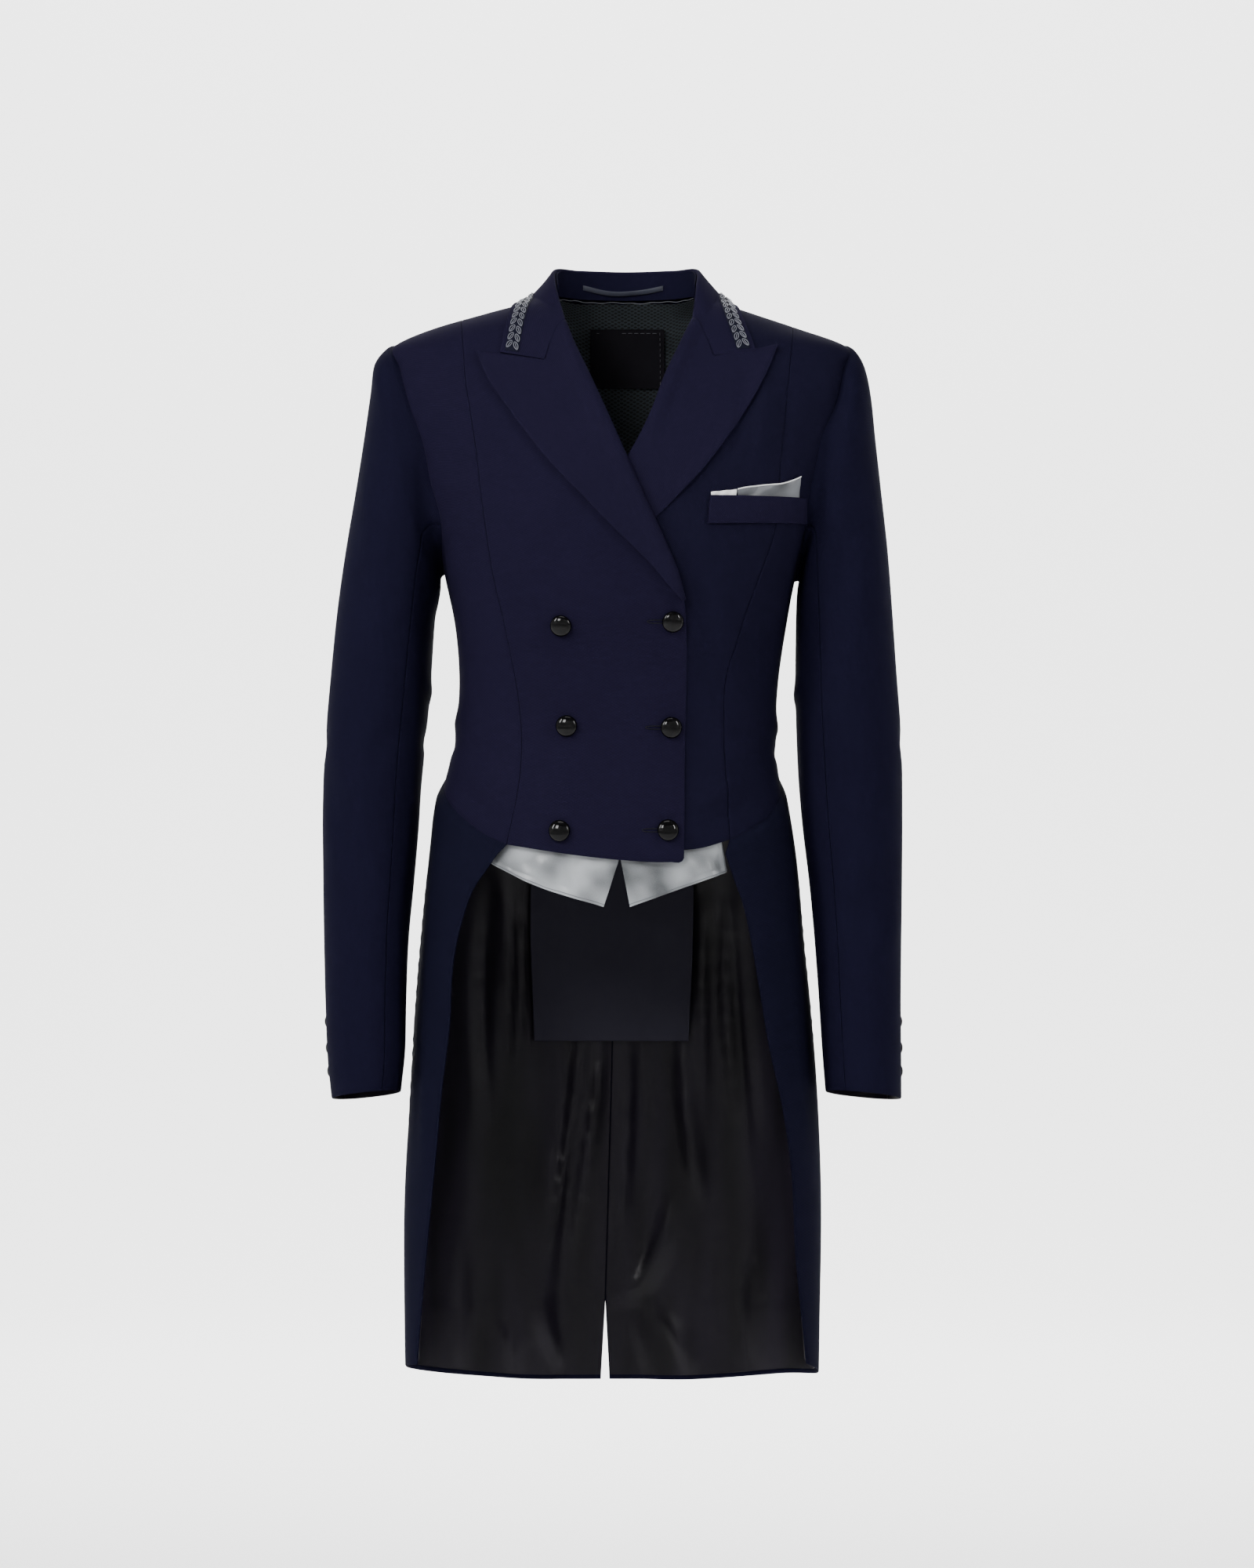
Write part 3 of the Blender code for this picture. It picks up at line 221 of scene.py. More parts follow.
# Soft flutes down the tails. Columns: x at the hem, width, depth outwards
FLUTES = (
    (-0.118, 0.020, 0.0045),
    (-0.078, 0.018, -0.0040),
    (-0.042, 0.014, 0.0040),
    (0.026, 0.016, 0.0045),
    (0.066, 0.018, -0.0040),
    (0.112, 0.020, 0.0040),
)
FLUTES_START_Z = -0.44
FLUTES_GROWTH = 0.30  # height over which they grow to their full depth
FLUTES_FROM_Y = 0.05  # they are full from here backwards
LINING_INSET = 0.005
LINING_HEM_INSET = 0.004

# Sleeves. Columns: shoulder-side height, underarm-side height, right outer x, right inner x,
# left outer x, left inner x, centre depth, half depth
SLEEVE = (
    (-0.031, -0.225, -0.1970, -0.1480, 0.2000, 0.1525, 0.000, 0.056),
    (-0.043, -0.232, -0.2045, -0.1490, 0.2070, 0.1515, 0.000, 0.061),
    (-0.068, -0.242, -0.2080, -0.1505, 0.2130, 0.1507, 0.001, 0.064),
    (-0.106, -0.256, -0.2135, -0.1535, 0.2171, 0.1503, 0.002, 0.065),
    (-0.150, -0.274, -0.2205, -0.1550, 0.2220, 0.1500, 0.003, 0.064),
    (-0.200, -0.298, -0.2290, -0.1565, 0.2275, 0.1498, 0.003, 0.063),
    (-0.250, -0.325, -0.2360, -0.1585, 0.2313, 0.1500, 0.002, 0.061),
    (-0.305, -0.358, -0.2415, -0.1612, 0.2351, 0.1507, 0.001, 0.059),
    (-0.360, -0.396, -0.2460, -0.1650, 0.2390, 0.1525, -0.001, 0.057),
    (-0.415, -0.436, -0.2480, -0.1675, 0.2396, 0.1560, -0.004, 0.055),
    (-0.470, -0.480, -0.2475, -0.1712, 0.2392, 0.1612, -0.008, 0.053),
    (-0.525, -0.528, -0.2465, -0.1755, 0.2383, 0.1655, -0.013, 0.051),
    (-0.580, -0.578, -0.2450, -0.1772, 0.2376, 0.1690, -0.018, 0.049),
    (-0.625, -0.619, -0.2430, -0.1780, 0.2378, 0.1715, -0.022, 0.048),
    (-0.6575, -0.6515, -0.2395, -0.1815, 0.2378, 0.1742, -0.025, 0.047),
)
SLEEVE_SQUARENESS = 2.15
SLEEVE_HEAD = (0.45, 0.0035)  # share of the armhole's line in the first ring, its height over the form
SLEEVE_HEAD_RINGS = 3  # the rings that are kept clear of the body and under the shoulder's slope
SLEEVE_CLEAR = 0.0022
SHOULDER_SLOPE = (-0.0265, 0.42)  # height at the shoulder's end, fall for each metre outwards
SLEEVE_START = 0.0001  # height over the form at the armhole
SLEEVE_TURNED_IN = 0.0020  # cloth turned in through the armhole
RING = 24 * FINE  # points round a sleeve
FRONT_SEAM_AT = 8 * FINE  # ring points between the top of the sleeve and its two seams
BACK_SEAM_AT = -3 * FINE

# Collar, mirrored about its centre. Columns: x, y, height
COLLAR_X = 0.0072
NECK_SEAM = (
    (0.000, 0.0545, 0.0150), (0.040, 0.0400, 0.0150), (0.0605, 0.0080, 0.0150),
    (0.0590, -0.0150, 0.0120),
)
FOLD = ((0.000, 0.0560, 0.0398), (0.039, 0.0430, 0.0398), (0.0600, 0.0100, 0.0372), (0.0595, -0.0120, 0.0245))
COLLAR_EDGE = (
    (0.000, 0.0800, -0.0120), (0.050, 0.0700, -0.0125), (0.0840, 0.0325, -0.0022),
    (0.0912, 0.0000, 0.0060), (0.0978, -0.0300, -0.0085),
)
COLLAR_COLUMNS = 26 * FINE
COLLAR_ROWS = 8 * FINE
STAND_COLUMNS = 22 * FINE
STAND_INSIDE = 0.0027  # from the fold to the stand's inner face
COLLAR_END_SHARE = 0.22  # how far round the collar its straight-cut ends are felt
STAND_TOP = 0.09  # share of the way down from the fold at which the stand's face starts
NECK_MIDDLE_Y = 0.005
NECK_THREAD_AT = (0.0003, 0.0022)  # how far inside the stand's face and below the seam it runs
NECK_THREAD_FROM_Y = 0.010  # it shows from here backwards
BRAID_FROM_EDGE = (0.0045, 0.0160)  # from the outer edge to the braid's two sides

# Welt pocket and square on the left chest, as (x, height)
WELT = ((0.0757, -0.1584), (0.1560, -0.1581), (0.0737, -0.1818), (0.1560, -0.1795))
SQUARE_TOP = ((0.0770, -0.1555), (0.0980, -0.1532), (0.1378, -0.1465), (0.1510, -0.1410))
SQUARE_FOLD = 0.0985  # x where the white fold ends and the silver one starts
SQUARE_GAP = 0.0006  # half the gap between them
SQUARE_IN_POCKET = 0.0050
SQUARE_RIPPLE = 0.0016
SQUARE_SAG = 0.0029  # of the silver fold's top edge, between its start and its point
WELT_RISE = 0.0012

# Waistcoat points, as (x, height): the edge that shows, out from the tip, and the edge at the centre
WAISTCOAT_EDGE = {
    "right": ((-0.0115, -0.4974), (-0.0697, -0.4794), (-0.0930, -0.4690), (-0.1080, -0.4610)),
    "left": ((0.0105, -0.4974), (0.0415, -0.4865), (0.0713, -0.4762), (0.0940, -0.4687)),
}
WAISTCOAT_CENTRE_X = {"right": 0.0010, "left": 0.0029}
WAISTCOAT_BEND_Z = -0.4590  # where the centre edge leaves the front hem and slants to the tip
WAISTCOAT_END_X = {"right": -0.1047, "left": 0.0860}
WAISTCOAT_TOP_Z = -0.434
WAISTCOAT_DEPTH = 0.0019  # clear space behind the layers in front of it
WAISTCOAT_RIPPLE_FROM = (-0.452, 0.010)  # height at which its ripples start, and over what height they grow
WAISTCOAT_STITCHES = 0.0021  # from the lower edge to the stitches
# The pressed edge's soft ridge and the groove inside it: height, distance from the edge, width
WAISTCOAT_RIDGE = (0.0009, 0.0018, 0.0013)
WAISTCOAT_GROOVE = (-0.0006, 0.0042, 0.0008)

# Inside the neck, and the panel inside the tails
MESH_LOW_Z = -0.180
LABEL_SIZE = (0.0637, 0.0500)
LABEL_MIDDLE = (0.0082, -0.0310)
LABEL_STAND = 0.0008  # how far it stands off the mesh
# The label's stitches. Columns: gap, length, how high each one arches
LONG_STITCHES = (0.0018, 0.0034, 0.0007)
SHORT_STITCHES = (0.0040, 0.0018, 0.0004)
SIDE_STITCHES = (0.0026, 0.0024, 0.0006)
LOOP_ENDS = ((-0.0294, 0.0250), (0.0385, 0.0240))
LOOP_SAG = 0.0045
LOOP_STAND_OFF = 0.0022  # how far its middle stands off the collar
LOOP_HALF_WIDTH = 0.0021
LOOP_CROWN = 0.0004  # how far the middle of the tape's width bulges
LOOP_TWIST = 0.5
PANEL_COLUMNS = 3 * FINE  # of a tail's columns, each side of the centre back
PANEL_LOW_Z = -0.6169
PANEL_STAND = 0.0050  # how far it stands in from the linings

CUFF_DROP = 0.0095  # how much lower the cuff hangs at the back than in front
CUFF_LEVEL = 0.4  # where between its middle, 0, and its front, 1, the cuff's edge keeps its height

# Buttons on the right front and the left side, as (x, height)
FRONT_BUTTONS = (
    (-0.0463, -0.2655), (0.0455, -0.2623), (-0.0419, -0.3481), (0.0442, -0.3494), (-0.0477, -0.4348),
    (0.0415, -0.4342),
)
CUFF_BUTTON_HEIGHTS = (-0.598, -0.6175, -0.636)
CUFF_BUTTON_TURN = math.radians(22)  # from the sleeve's outer side towards the back

# The scene's own sizes
EDGE = 0.0008  # how far in from its edge the cloth starts to turn over
TURN = 0.0005  # how far the face drops there
SEWN = 0.00012  # half the groove of a pressed seam
CLOSED = -0.0003  # edges that run this much past their seam line, where light would come through
HUNG_BELOW = 0.0010  # how far the mesh and the inner panel stop short of the seam that they hang from
ROLL_RADIUS = 0.00185  # of the turned edge at the lapels' roll line
ROLL_TURN = 172  # degrees that it turns over
COLLAR_ROLL = (0.0021, 178)  # the same two at the collar's fold

# Creases for each part of the coat and the side that it is seen from. Columns: three
# places that a crease runs through in that view (x or y, height), half width, height outwards. A trough's
# height is less than 0
CREASES = {
    ("body", "front"): (
        # left chest, soft drapes between lapel and sleeve
        ((0.1035, -0.052), (0.1010, -0.090), (0.0900, -0.132), 0.0055, -0.0022),
        ((0.1190, -0.050), (0.1190, -0.095), (0.1120, -0.140), 0.0065, 0.0019),
        ((0.1400, -0.056), (0.1400, -0.100), (0.1340, -0.146), 0.0060, -0.0019),
        # under the lapel's break, drawn to the first button
        ((0.0680, -0.225), (0.0840, -0.262), (0.1040, -0.300), 0.0090, 0.0026),
        ((0.0640, -0.262), (0.0760, -0.300), (0.0950, -0.345), 0.0080, -0.0019),
        ((-0.0250, -0.258), (-0.0460, -0.252), (-0.0850, -0.232), 0.0075, 0.0014),
        ((-0.0300, -0.282), (-0.0520, -0.288), (-0.0860, -0.284), 0.0070, -0.0014),
        # waist, left side
        ((0.0650, -0.418), (0.0820, -0.405), (0.1080, -0.392), 0.0045, 0.0023),
        ((0.0700, -0.432), (0.0900, -0.422), (0.1180, -0.404), 0.0040, -0.0019),
        ((0.0860, -0.380), (0.1060, -0.372), (0.1280, -0.368), 0.0060, 0.0018),
        # waist, right side
        ((-0.1280, -0.388), (-0.1120, -0.396), (-0.0930, -0.412), 0.0050, 0.0022),
        ((-0.1330, -0.404), (-0.1180, -0.412), (-0.0970, -0.430), 0.0040, -0.0019),
        ((-0.1310, -0.350), (-0.1120, -0.356), (-0.0870, -0.372), 0.0070, 0.0016),
        ((-0.1480, -0.150), (-0.1360, -0.180), (-0.1260, -0.215), 0.0080, -0.0018),
    ),
    ("body", "back"): (
        # back: blades, middle and waist
        ((-0.1450, -0.130), (-0.1120, -0.165), (-0.0750, -0.215), 0.0090, 0.0023),
        ((0.1480, -0.125), (0.1160, -0.168), (0.0820, -0.208), 0.0095, 0.0022),
        ((-0.1300, -0.205), (-0.1000, -0.238), (-0.0640, -0.262), 0.0075, -0.0017),
        ((0.1340, -0.200), (0.1080, -0.228), (0.0700, -0.270), 0.0080, -0.0017),
        ((-0.1180, -0.335), (-0.0700, -0.352), (-0.0180, -0.345), 0.0080, 0.0023),
        ((0.0150, -0.352), (0.0680, -0.340), (0.1200, -0.350), 0.0075, 0.0020),
        ((-0.0900, -0.362), (-0.0400, -0.370), (0.0300, -0.366), 0.0055, -0.0017),
        ((-0.0600, -0.050), (0.0000, -0.060), (0.0650, -0.052), 0.0100, -0.0014),
    ),
    ("body", "right"): (
        ((-0.0450, -0.335), (0.0000, -0.345), (0.0420, -0.338), 0.0080, 0.0020),
        ((-0.0350, -0.362), (0.0080, -0.366), (0.0480, -0.358), 0.0060, -0.0017),
    ),
    ("body", "left"): (
        ((-0.0420, -0.338), (0.0040, -0.350), (0.0450, -0.342), 0.0075, 0.0020),
        ((-0.0380, -0.366), (0.0000, -0.372), (0.0400, -0.362), 0.0055, -0.0016),
    ),
    ("tail", "back"): (
        ((-0.1100, -0.420), (-0.0950, -0.520), (-0.0900, -0.660), 0.0120, 0.0026),
        ((0.0850, -0.415), (0.0980, -0.530), (0.1050, -0.690), 0.0130, 0.0026),
        ((-0.0350, -0.410), (-0.0420, -0.490), (-0.0400, -0.600), 0.0090, -0.0023),
        ((0.0300, -0.408), (0.0400, -0.500), (0.0380, -0.640), 0.0100, -0.0025),
    ),
    ("tail", "right"): (
        ((0.0200, -0.430), (0.0120, -0.560), (0.0150, -0.720), 0.0110, 0.0026),
    ),
    ("tail", "left"): (
        ((0.0150, -0.430), (0.0220, -0.570), (0.0180, -0.740), 0.0110, 0.0026),
    ),
    ("tail", "front"): (
        ((-0.1560, -0.560), (-0.1590, -0.640), (-0.1600, -0.740), 0.0050, 0.0023),
        ((0.1400, -0.500), (0.1470, -0.600), (0.1540, -0.700), 0.0050, 0.0019),
    ),
    ("right_sleeve", "front"): (
        ((-0.2140, -0.120), (-0.2030, -0.200), (-0.1980, -0.290), 0.0130, 0.0027),
        ((-0.2420, -0.360), (-0.2230, -0.392), (-0.2060, -0.430), 0.0110, 0.0028),
        ((-0.2440, -0.405), (-0.2270, -0.440), (-0.2100, -0.480), 0.0100, -0.0028),
        ((-0.1860, -0.342), (-0.1960, -0.362), (-0.2100, -0.376), 0.0080, -0.0023),
        ((-0.2350, -0.520), (-0.2140, -0.540), (-0.1860, -0.545), 0.0110, 0.0019),
    ),
    ("right_sleeve", "back"): (
        ((-0.2400, -0.300), (-0.2150, -0.330), (-0.1820, -0.340), 0.0080, 0.0018),
        ((-0.2420, -0.335), (-0.2150, -0.360), (-0.1800, -0.380), 0.0070, -0.0018),
        ((-0.2400, -0.375), (-0.2160, -0.395), (-0.1850, -0.402), 0.0085, 0.0018),
    ),
    ("right_sleeve", "right"): (
        ((-0.0300, -0.345), (0.0000, -0.372), (0.0350, -0.385), 0.0090, -0.0018),
    ),
    ("right_sleeve", "left"): (
        ((-0.0350, -0.300), (0.0000, -0.320), (0.0300, -0.310), 0.0080, 0.0018),
        ((-0.0400, -0.350), (0.0000, -0.362), (0.0350, -0.352), 0.0080, -0.0018),
    ),
    ("left_sleeve", "front"): (
        ((0.2200, -0.130), (0.2080, -0.210), (0.1960, -0.300), 0.0130, 0.0027),
        ((0.1850, -0.150), (0.1800, -0.210), (0.1760, -0.270), 0.0100, -0.0026),
        ((0.2370, -0.395), (0.2150, -0.400), (0.1900, -0.425), 0.0110, 0.0028),
        ((0.2400, -0.445), (0.2180, -0.480), (0.1850, -0.525), 0.0120, -0.0028),
        ((0.2380, -0.500), (0.2180, -0.528), (0.1960, -0.545), 0.0100, 0.0028),
    ),
    ("left_sleeve", "back"): (
        ((0.2380, -0.305), (0.2120, -0.322), (0.1750, -0.345), 0.0080, 0.0018),
        ((0.2390, -0.345), (0.2120, -0.366), (0.1720, -0.372), 0.0070, -0.0018),
        ((0.2400, -0.385), (0.2150, -0.398), (0.1800, -0.415), 0.0085, 0.0018),
    ),
    ("left_sleeve", "left"): (
        ((-0.0280, -0.350), (0.0020, -0.372), (0.0320, -0.392), 0.0090, -0.0018),
    ),
    ("left_sleeve", "right"): (
        ((-0.0350, -0.305), (0.0000, -0.322), (0.0300, -0.315), 0.0080, 0.0018),
    ),
}

# Folds that stand in from the tails' satin lining. Columns: three places (x, height), half width, height
LINING_FOLDS = (
    ((-0.1080, -0.480), (-0.1200, -0.580), (-0.1060, -0.720), 0.0070, 0.0057),
    ((-0.0860, -0.470), (-0.0850, -0.560), (-0.0910, -0.660), 0.0055, 0.0048),
    ((-0.0780, -0.500), (-0.0700, -0.640), (-0.0760, -0.760), 0.0080, -0.0018),
    ((-0.0300, -0.600), (-0.0420, -0.690), (-0.0640, -0.800), 0.0065, 0.0063),
    ((-0.0130, -0.600), (-0.0230, -0.690), (-0.0420, -0.800), 0.0055, 0.0059),
    ((-0.0460, -0.700), (-0.0620, -0.800), (-0.0800, -0.880), 0.0100, 0.0039),
    ((0.0080, -0.600), (0.0060, -0.690), (0.0000, -0.780), 0.0050, 0.0045),
    ((0.0560, -0.590), (0.0600, -0.680), (0.0720, -0.760), 0.0065, 0.0052),
    ((0.0780, -0.480), (0.0720, -0.570), (0.0740, -0.700), 0.0055, 0.0051),
    ((0.0960, -0.480), (0.0940, -0.590), (0.1080, -0.700), 0.0080, 0.0059),
    ((0.1020, -0.470), (0.1120, -0.600), (0.1220, -0.720), 0.0060, 0.0043),
    ((0.0500, -0.750), (0.0280, -0.810), (0.0000, -0.835), 0.0080, 0.0055),
    ((-0.0700, -0.835), (-0.0620, -0.870), (-0.0500, -0.900), 0.0080, 0.0041),
    ((-0.0980, -0.850), (-0.0920, -0.875), (-0.0900, -0.905), 0.0070, 0.0034),
    ((0.0400, -0.850), (0.0550, -0.875), (0.0640, -0.905), 0.0070, 0.0039),
    ((0.0120, -0.850), (0.0200, -0.875), (0.0230, -0.900), 0.0060, 0.0029),
    ((0.1200, -0.800), (0.1180, -0.850), (0.1260, -0.900), 0.0100, 0.0027),
    ((-0.1300, -0.780), (-0.1360, -0.840), (-0.1380, -0.900), 0.0090, 0.0025),
)
LINING_HEM_Z = -0.838  # the stitched line across the lining, over its turned-up hem
LINING_HEM_STEP = (0.0006, 0.0012)  # how far the lining steps in under it, and over what height
LINING_CLEAR = 0.0004
FOLD_FADES = (0.03, 0.008, 0.05)  # from the front edge, the centre seam and the waist: where folds are full

VIEWS = {"front": (0, -1), "back": (0, 1), "right": (1, -1), "left": (1, 1)}

# Leaves of the braid
LEAF_LENGTH = 0.0083
LEAF_HALF_WIDTH = 0.0018
LEAF_PITCH = 0.0086
LEAF_STAGGER = 0.12  # how much further on the leaves of one side lie, as a share of the pitch
LEAF_BASE = 0.0045  # from the strip's middle out to the foot of a leaf, which leans in to its tip
LEAF_TIP = 0.0014  # from the strip's middle to the tip
LEAF_CROWN = 0.00045  # how high its outline lies over the ground's face
VEIN_CROWN = 0.00015
BRAID_END = 0.0012  # from the strip's end to the first leaf


def smooth(table, at):
    """The table's other columns where its first one has these values, on a smooth curve."""
    table = np.array(table, float)
    key, rest = table[:, 0], table[:, 1:]
    slope = np.gradient(rest, key, axis=0)
    at = np.clip(at, key[0], key[-1])
    i = np.clip(np.searchsorted(key, at) - 1, 0, len(key) - 2)
    step = (key[i + 1] - key[i])[..., None]
    t = (at - key[i])[..., None] / step
    start = (2 * t**3 - 3 * t**2 + 1) * rest[i] + (t**3 - 2 * t**2 + t) * step * slope[i]
    end = (3 * t**2 - 2 * t**3) * rest[i + 1] + (t**3 - t**2) * step * slope[i + 1]
    return start + end


def ease(x):
    """0 below 0, 1 above 1 and a smooth step between."""
    x = np.clip(x, 0, 1)
    return x * x * (3 - 2 * x)


def between(a, b, share):
    """The place this share of the way from a to b."""
    return (1 - share) * a + share * b


def bell(distance, width):
    """1 at no distance, dying away softly over this width."""
    return np.exp(-((distance / width) ** 2))


def away_from(edge, points):
    """How far each point of a grid lies from the point of an edge in its own row or column."""
    return np.linalg.norm(points - edge, axis=-1)


def section(z):
    """Centre x, half width, front depth, back depth and squareness of the form at these heights."""
    right, left, front, back, square = np.moveaxis(smooth(FORM, np.asarray(z, float)), -1, 0)
    return (left + right) / 2, (left - right) / 2, front, back, square


def field(points):
    """1 on the form, less inside it and more outside."""
    centre, half, front, back, square = section(points[..., 2])
    across = np.abs(points[..., 0] - centre) / half
    deep = np.abs(points[..., 1]) / np.where(points[..., 1] < 0, front, back)
    return (across**square + deep**square) ** (1 / square)


def gradient(points):
    """How fast the field grows along each axis."""
    step = 0.0004
    sides = [(field(points + step * axis) - field(points - step * axis)) / (2 * step) for axis in np.eye(3)]
    return np.stack(sides, axis=-1)


def unit(vectors):
    return vectors / np.linalg.norm(vectors, axis=-1, keepdims=True)


def to_form(points):
    """The points pushed straight onto the form, from either side of it."""
    for _ in range(8):
        slope = gradient(points)
        points = points + slope * ((1 - field(points)) / np.sum(slope**2, axis=-1))[..., None]
    return points


def raised(points, height):
    """Points of the form moved straight out from it."""
    return points + unit(gradient(points)) * np.asarray(height)[..., None]


def kept_outside(points, height):
    """The points, with those nearer the form than this height moved out to it."""
    slope = gradient(points)
    steepness = np.linalg.norm(slope, axis=-1)
    short = height - (field(points) - 1) / steepness
    return points + slope / steepness[..., None] * np.maximum(short, 0)[..., None]


def on_front(places, side=-1):
    """Points of the form at these (x, height) places as seen from the front, or from behind with side 1."""
    places = np.array(places, float).reshape(-1, 2)
    x, z = places[:, 0], places[:, 1]
    centre, half, front, back, square = section(z)
    across = np.clip(np.abs(x - centre) / half, 0, 1)
    depth = (1 - across**square) ** (1 / square)
    return np.stack([x, side * depth * np.where(side < 0, front, back), z], axis=-1)


def on_back(places):
    return on_front(places, 1)


def at_side(side, heights):
    """Points of the form on its side line."""
    heights = np.atleast_1d(np.array(heights, float))
    centre, half, _, _, _ = section(heights)
    x = centre + half * SIGN[side]
    return np.stack([x, np.zeros_like(x), heights], axis=-1)


def on_shoulder(places_x):
    """Points of the shoulder seam, which is the form's top ridge, at these x."""
    heights = np.linspace(SHOULDER_Z, NECK_Z, 80)
    centre, half, _, _, _ = section(heights)
    points = []
    for x in np.atleast_1d(places_x):
        edge = centre + half * np.sign(x)
        z = np.interp(-abs(x), -np.abs(edge), heights)
        points.append((x, 0.0, z))
    return np.array(points)


def lengths_along(points):
    """How far along a run of points each of them lies."""
    return np.concatenate([[0], np.cumsum(np.linalg.norm(np.diff(points, axis=0), axis=1))])


def read_at(at, key, points):
    """The places at these values of a key that every point has."""
    return np.stack([np.interp(at, key, points[:, k]) for k in range(3)], axis=1)


def through_corner(points, count):
    """count + 1 evenly spaced points along straight runs between these."""
    length = lengths_along(points)
    return read_at(np.linspace(0, length[-1], count + 1), length, points)


def through(parts, count):
    """count + 1 evenly spaced points along a smooth curve through these points and rows of points."""
    points = np.vstack(parts).astype(float)
    chord = lengths_along(points)
    fine = smooth(np.column_stack([chord, points]), np.linspace(0, chord[-1], 400))
    return through_corner(fine, count)


def joined(*curves):
    """One run of points from curves that each start where the last one ends."""
    return np.concatenate([curves[0]] + [curve[1:] for curve in curves[1:]])


def filled(left, right, top, bottom):
    """A grid of points between four edges. Left and right run down, top and bottom run left to right."""
    down = np.linspace(0, 1, len(left))[:, None, None]
    across = np.linspace(0, 1, len(top))[None, :, None]
    ruled = between(left[:, None], right[:, None], across) + between(top[None], bottom[None], down)
    return ruled - between(between(left[0], right[0], across), between(left[-1], right[-1], across), down)


def trimmed(grid, sides, by=SEAM / 2):
    """The grid with these edges drawn in: left, right, top, bottom."""
    grid = grid.copy()
    if "l" in sides:
        grid[:, 0] += unit(grid[:, 1] - grid[:, 0]) * by
    if "r" in sides:
        grid[:, -1] += unit(grid[:, -2] - grid[:, -1]) * by
    if "t" in sides:
        grid[0] += unit(grid[1] - grid[0]) * by
    if "b" in sides:
        grid[-1] += unit(grid[-2] - grid[-1]) * by
    return grid


def grid_normals(grid):
    """The direction that a grid faces at each of its points."""
    down = np.gradient(grid, axis=0)
    across = np.gradient(grid, axis=1)
    return unit(np.cross(down, across))


def facing_out(grid, core=None):
    """The grid, turned if need be so that it faces away from the core, or from the coat's middle line."""
    if core is None:
        core = grid * (0, 0, 1)
    outward = np.sum(grid_normals(grid) * (grid - core))
    return grid if outward > 0 else grid[:, ::-1]


def run_height(across, up, places, width, height):
    """How high one crease stands at these places: soft, steeper on one side, dying away at its ends."""
    a, b, c = np.array(places)
    t = np.linspace(0, 1, 25)[:, None]
    line = (1 - t) ** 2 * a + 2 * t * (1 - t) * (2 * b - 0.5 * (a + c)) + t**2 * c
    here = np.stack([across, up], axis=-1)
    apart = here[..., None, :] - line
    nearest = np.argmin(np.sum(apart**2, axis=-1), axis=-1)
    along = np.gradient(line, axis=0)
    offset = np.take_along_axis(apart, nearest[..., None, None], axis=-2)[..., 0, :]
    side = along[nearest][..., 0] * offset[..., 1] - along[nearest][..., 1] * offset[..., 0]
    spread = width * np.where(side > 0, 1.35, 0.8)
    far = np.sum(offset**2, axis=-1) / spread**2
    return height * np.exp(-far) * np.sin(np.pi * np.clip(t[nearest, 0], 0.02, 0.98)) ** 0.8


def crease_height(points, normals, part):
    """The sum of the creases of one part of the coat at these points."""
    total = np.zeros(points.shape[:-1])
    for (of, view), creases in CREASES.items():
        if of != part:
            continue
        axis, sign = VIEWS[view]
        facing = ease(normals[..., 1 - axis] * sign * 1.6)
        for *places, width, height in creases:
            total += facing * run_height(points[..., axis], points[..., 2], places, width, height)
    return total


def on_coat(points, height):
    """Points of the form moved out from it by this height and the creases of the body there."""
    normals = unit(gradient(points))
    creases = crease_height(points, normals, "body")
    return points + normals * (np.asarray(height) + creases)[..., None]


def edged(grid):
    """The grid with one more row or column close inside each edge, where the cloth turns over."""
    for axis in (0, 1):
        grid = np.moveaxis(grid, axis, 0)
        step = grid[1] - grid[0], grid[-2] - grid[-1]
        length = [np.linalg.norm(s, axis=-1, keepdims=True) for s in step]
        near = [s * np.minimum(EDGE / np.maximum(n, 1e-9), 0.5) for s, n in zip(step, length)]
        grid = np.concatenate([grid[:1], grid[:1] + near[0], grid[1:-1], grid[-1:] + near[1], grid[-1:]])
        grid = np.moveaxis(grid, 0, axis)
    return grid


def arc_lengths(grid, axis):
    steps = np.linalg.norm(np.diff(grid, axis=axis), axis=-1)
    return np.insert(np.cumsum(steps, axis=axis), 0, 0, axis=axis)


def linked(name, data):
    """A new object in the scene."""
    obj = bpy.data.objects.new(name, data)
    bpy.context.scene.collection.objects.link(obj)
    return obj


def sheet_mesh(name, inner, outer):
    """A closed sheet between two grids, with a UV map in metres along its outer face.

    Also gives the numbers of the inner grid's own faces."""
    rows, columns = inner.shape[:2]
    count = rows * columns
    number = np.arange(count).reshape(rows, columns)
    face = np.stack([number[:-1, :-1], number[1:, :-1], number[1:, 1:], number[:-1, 1:]], axis=-1)
    face = face.reshape(-1, 4)
    border = np.concatenate([number[0, :-1], number[:-1, -1], number[-1, :0:-1], number[:0:-1, 0]])
    after = np.roll(border, -1)
    rim = np.stack([border, after, after + count, border + count], axis=-1)
    faces = np.concatenate([face + count, face[:, ::-1], rim])
    points = np.concatenate([inner.reshape(-1, 3), outer.reshape(-1, 3)])
    mesh = bpy.data.meshes.new(name)
    mesh.from_pydata(points.tolist(), [], faces.tolist())
    mesh.shade_smooth()
    u, v = arc_lengths(outer, 1), arc_lengths(outer, 0)
    u = u - u[:, columns // 2 : columns // 2 + 1]
    uv = np.tile(np.stack([u, v], axis=-1).reshape(-1, 2), (2, 1))
    layer = mesh.uv_layers.new(name="UVMap")
    layer.data.foreach_set("uv", uv[faces.reshape(-1)].astype(np.float32).ravel())
    return mesh, range(len(face), 2 * len(face))


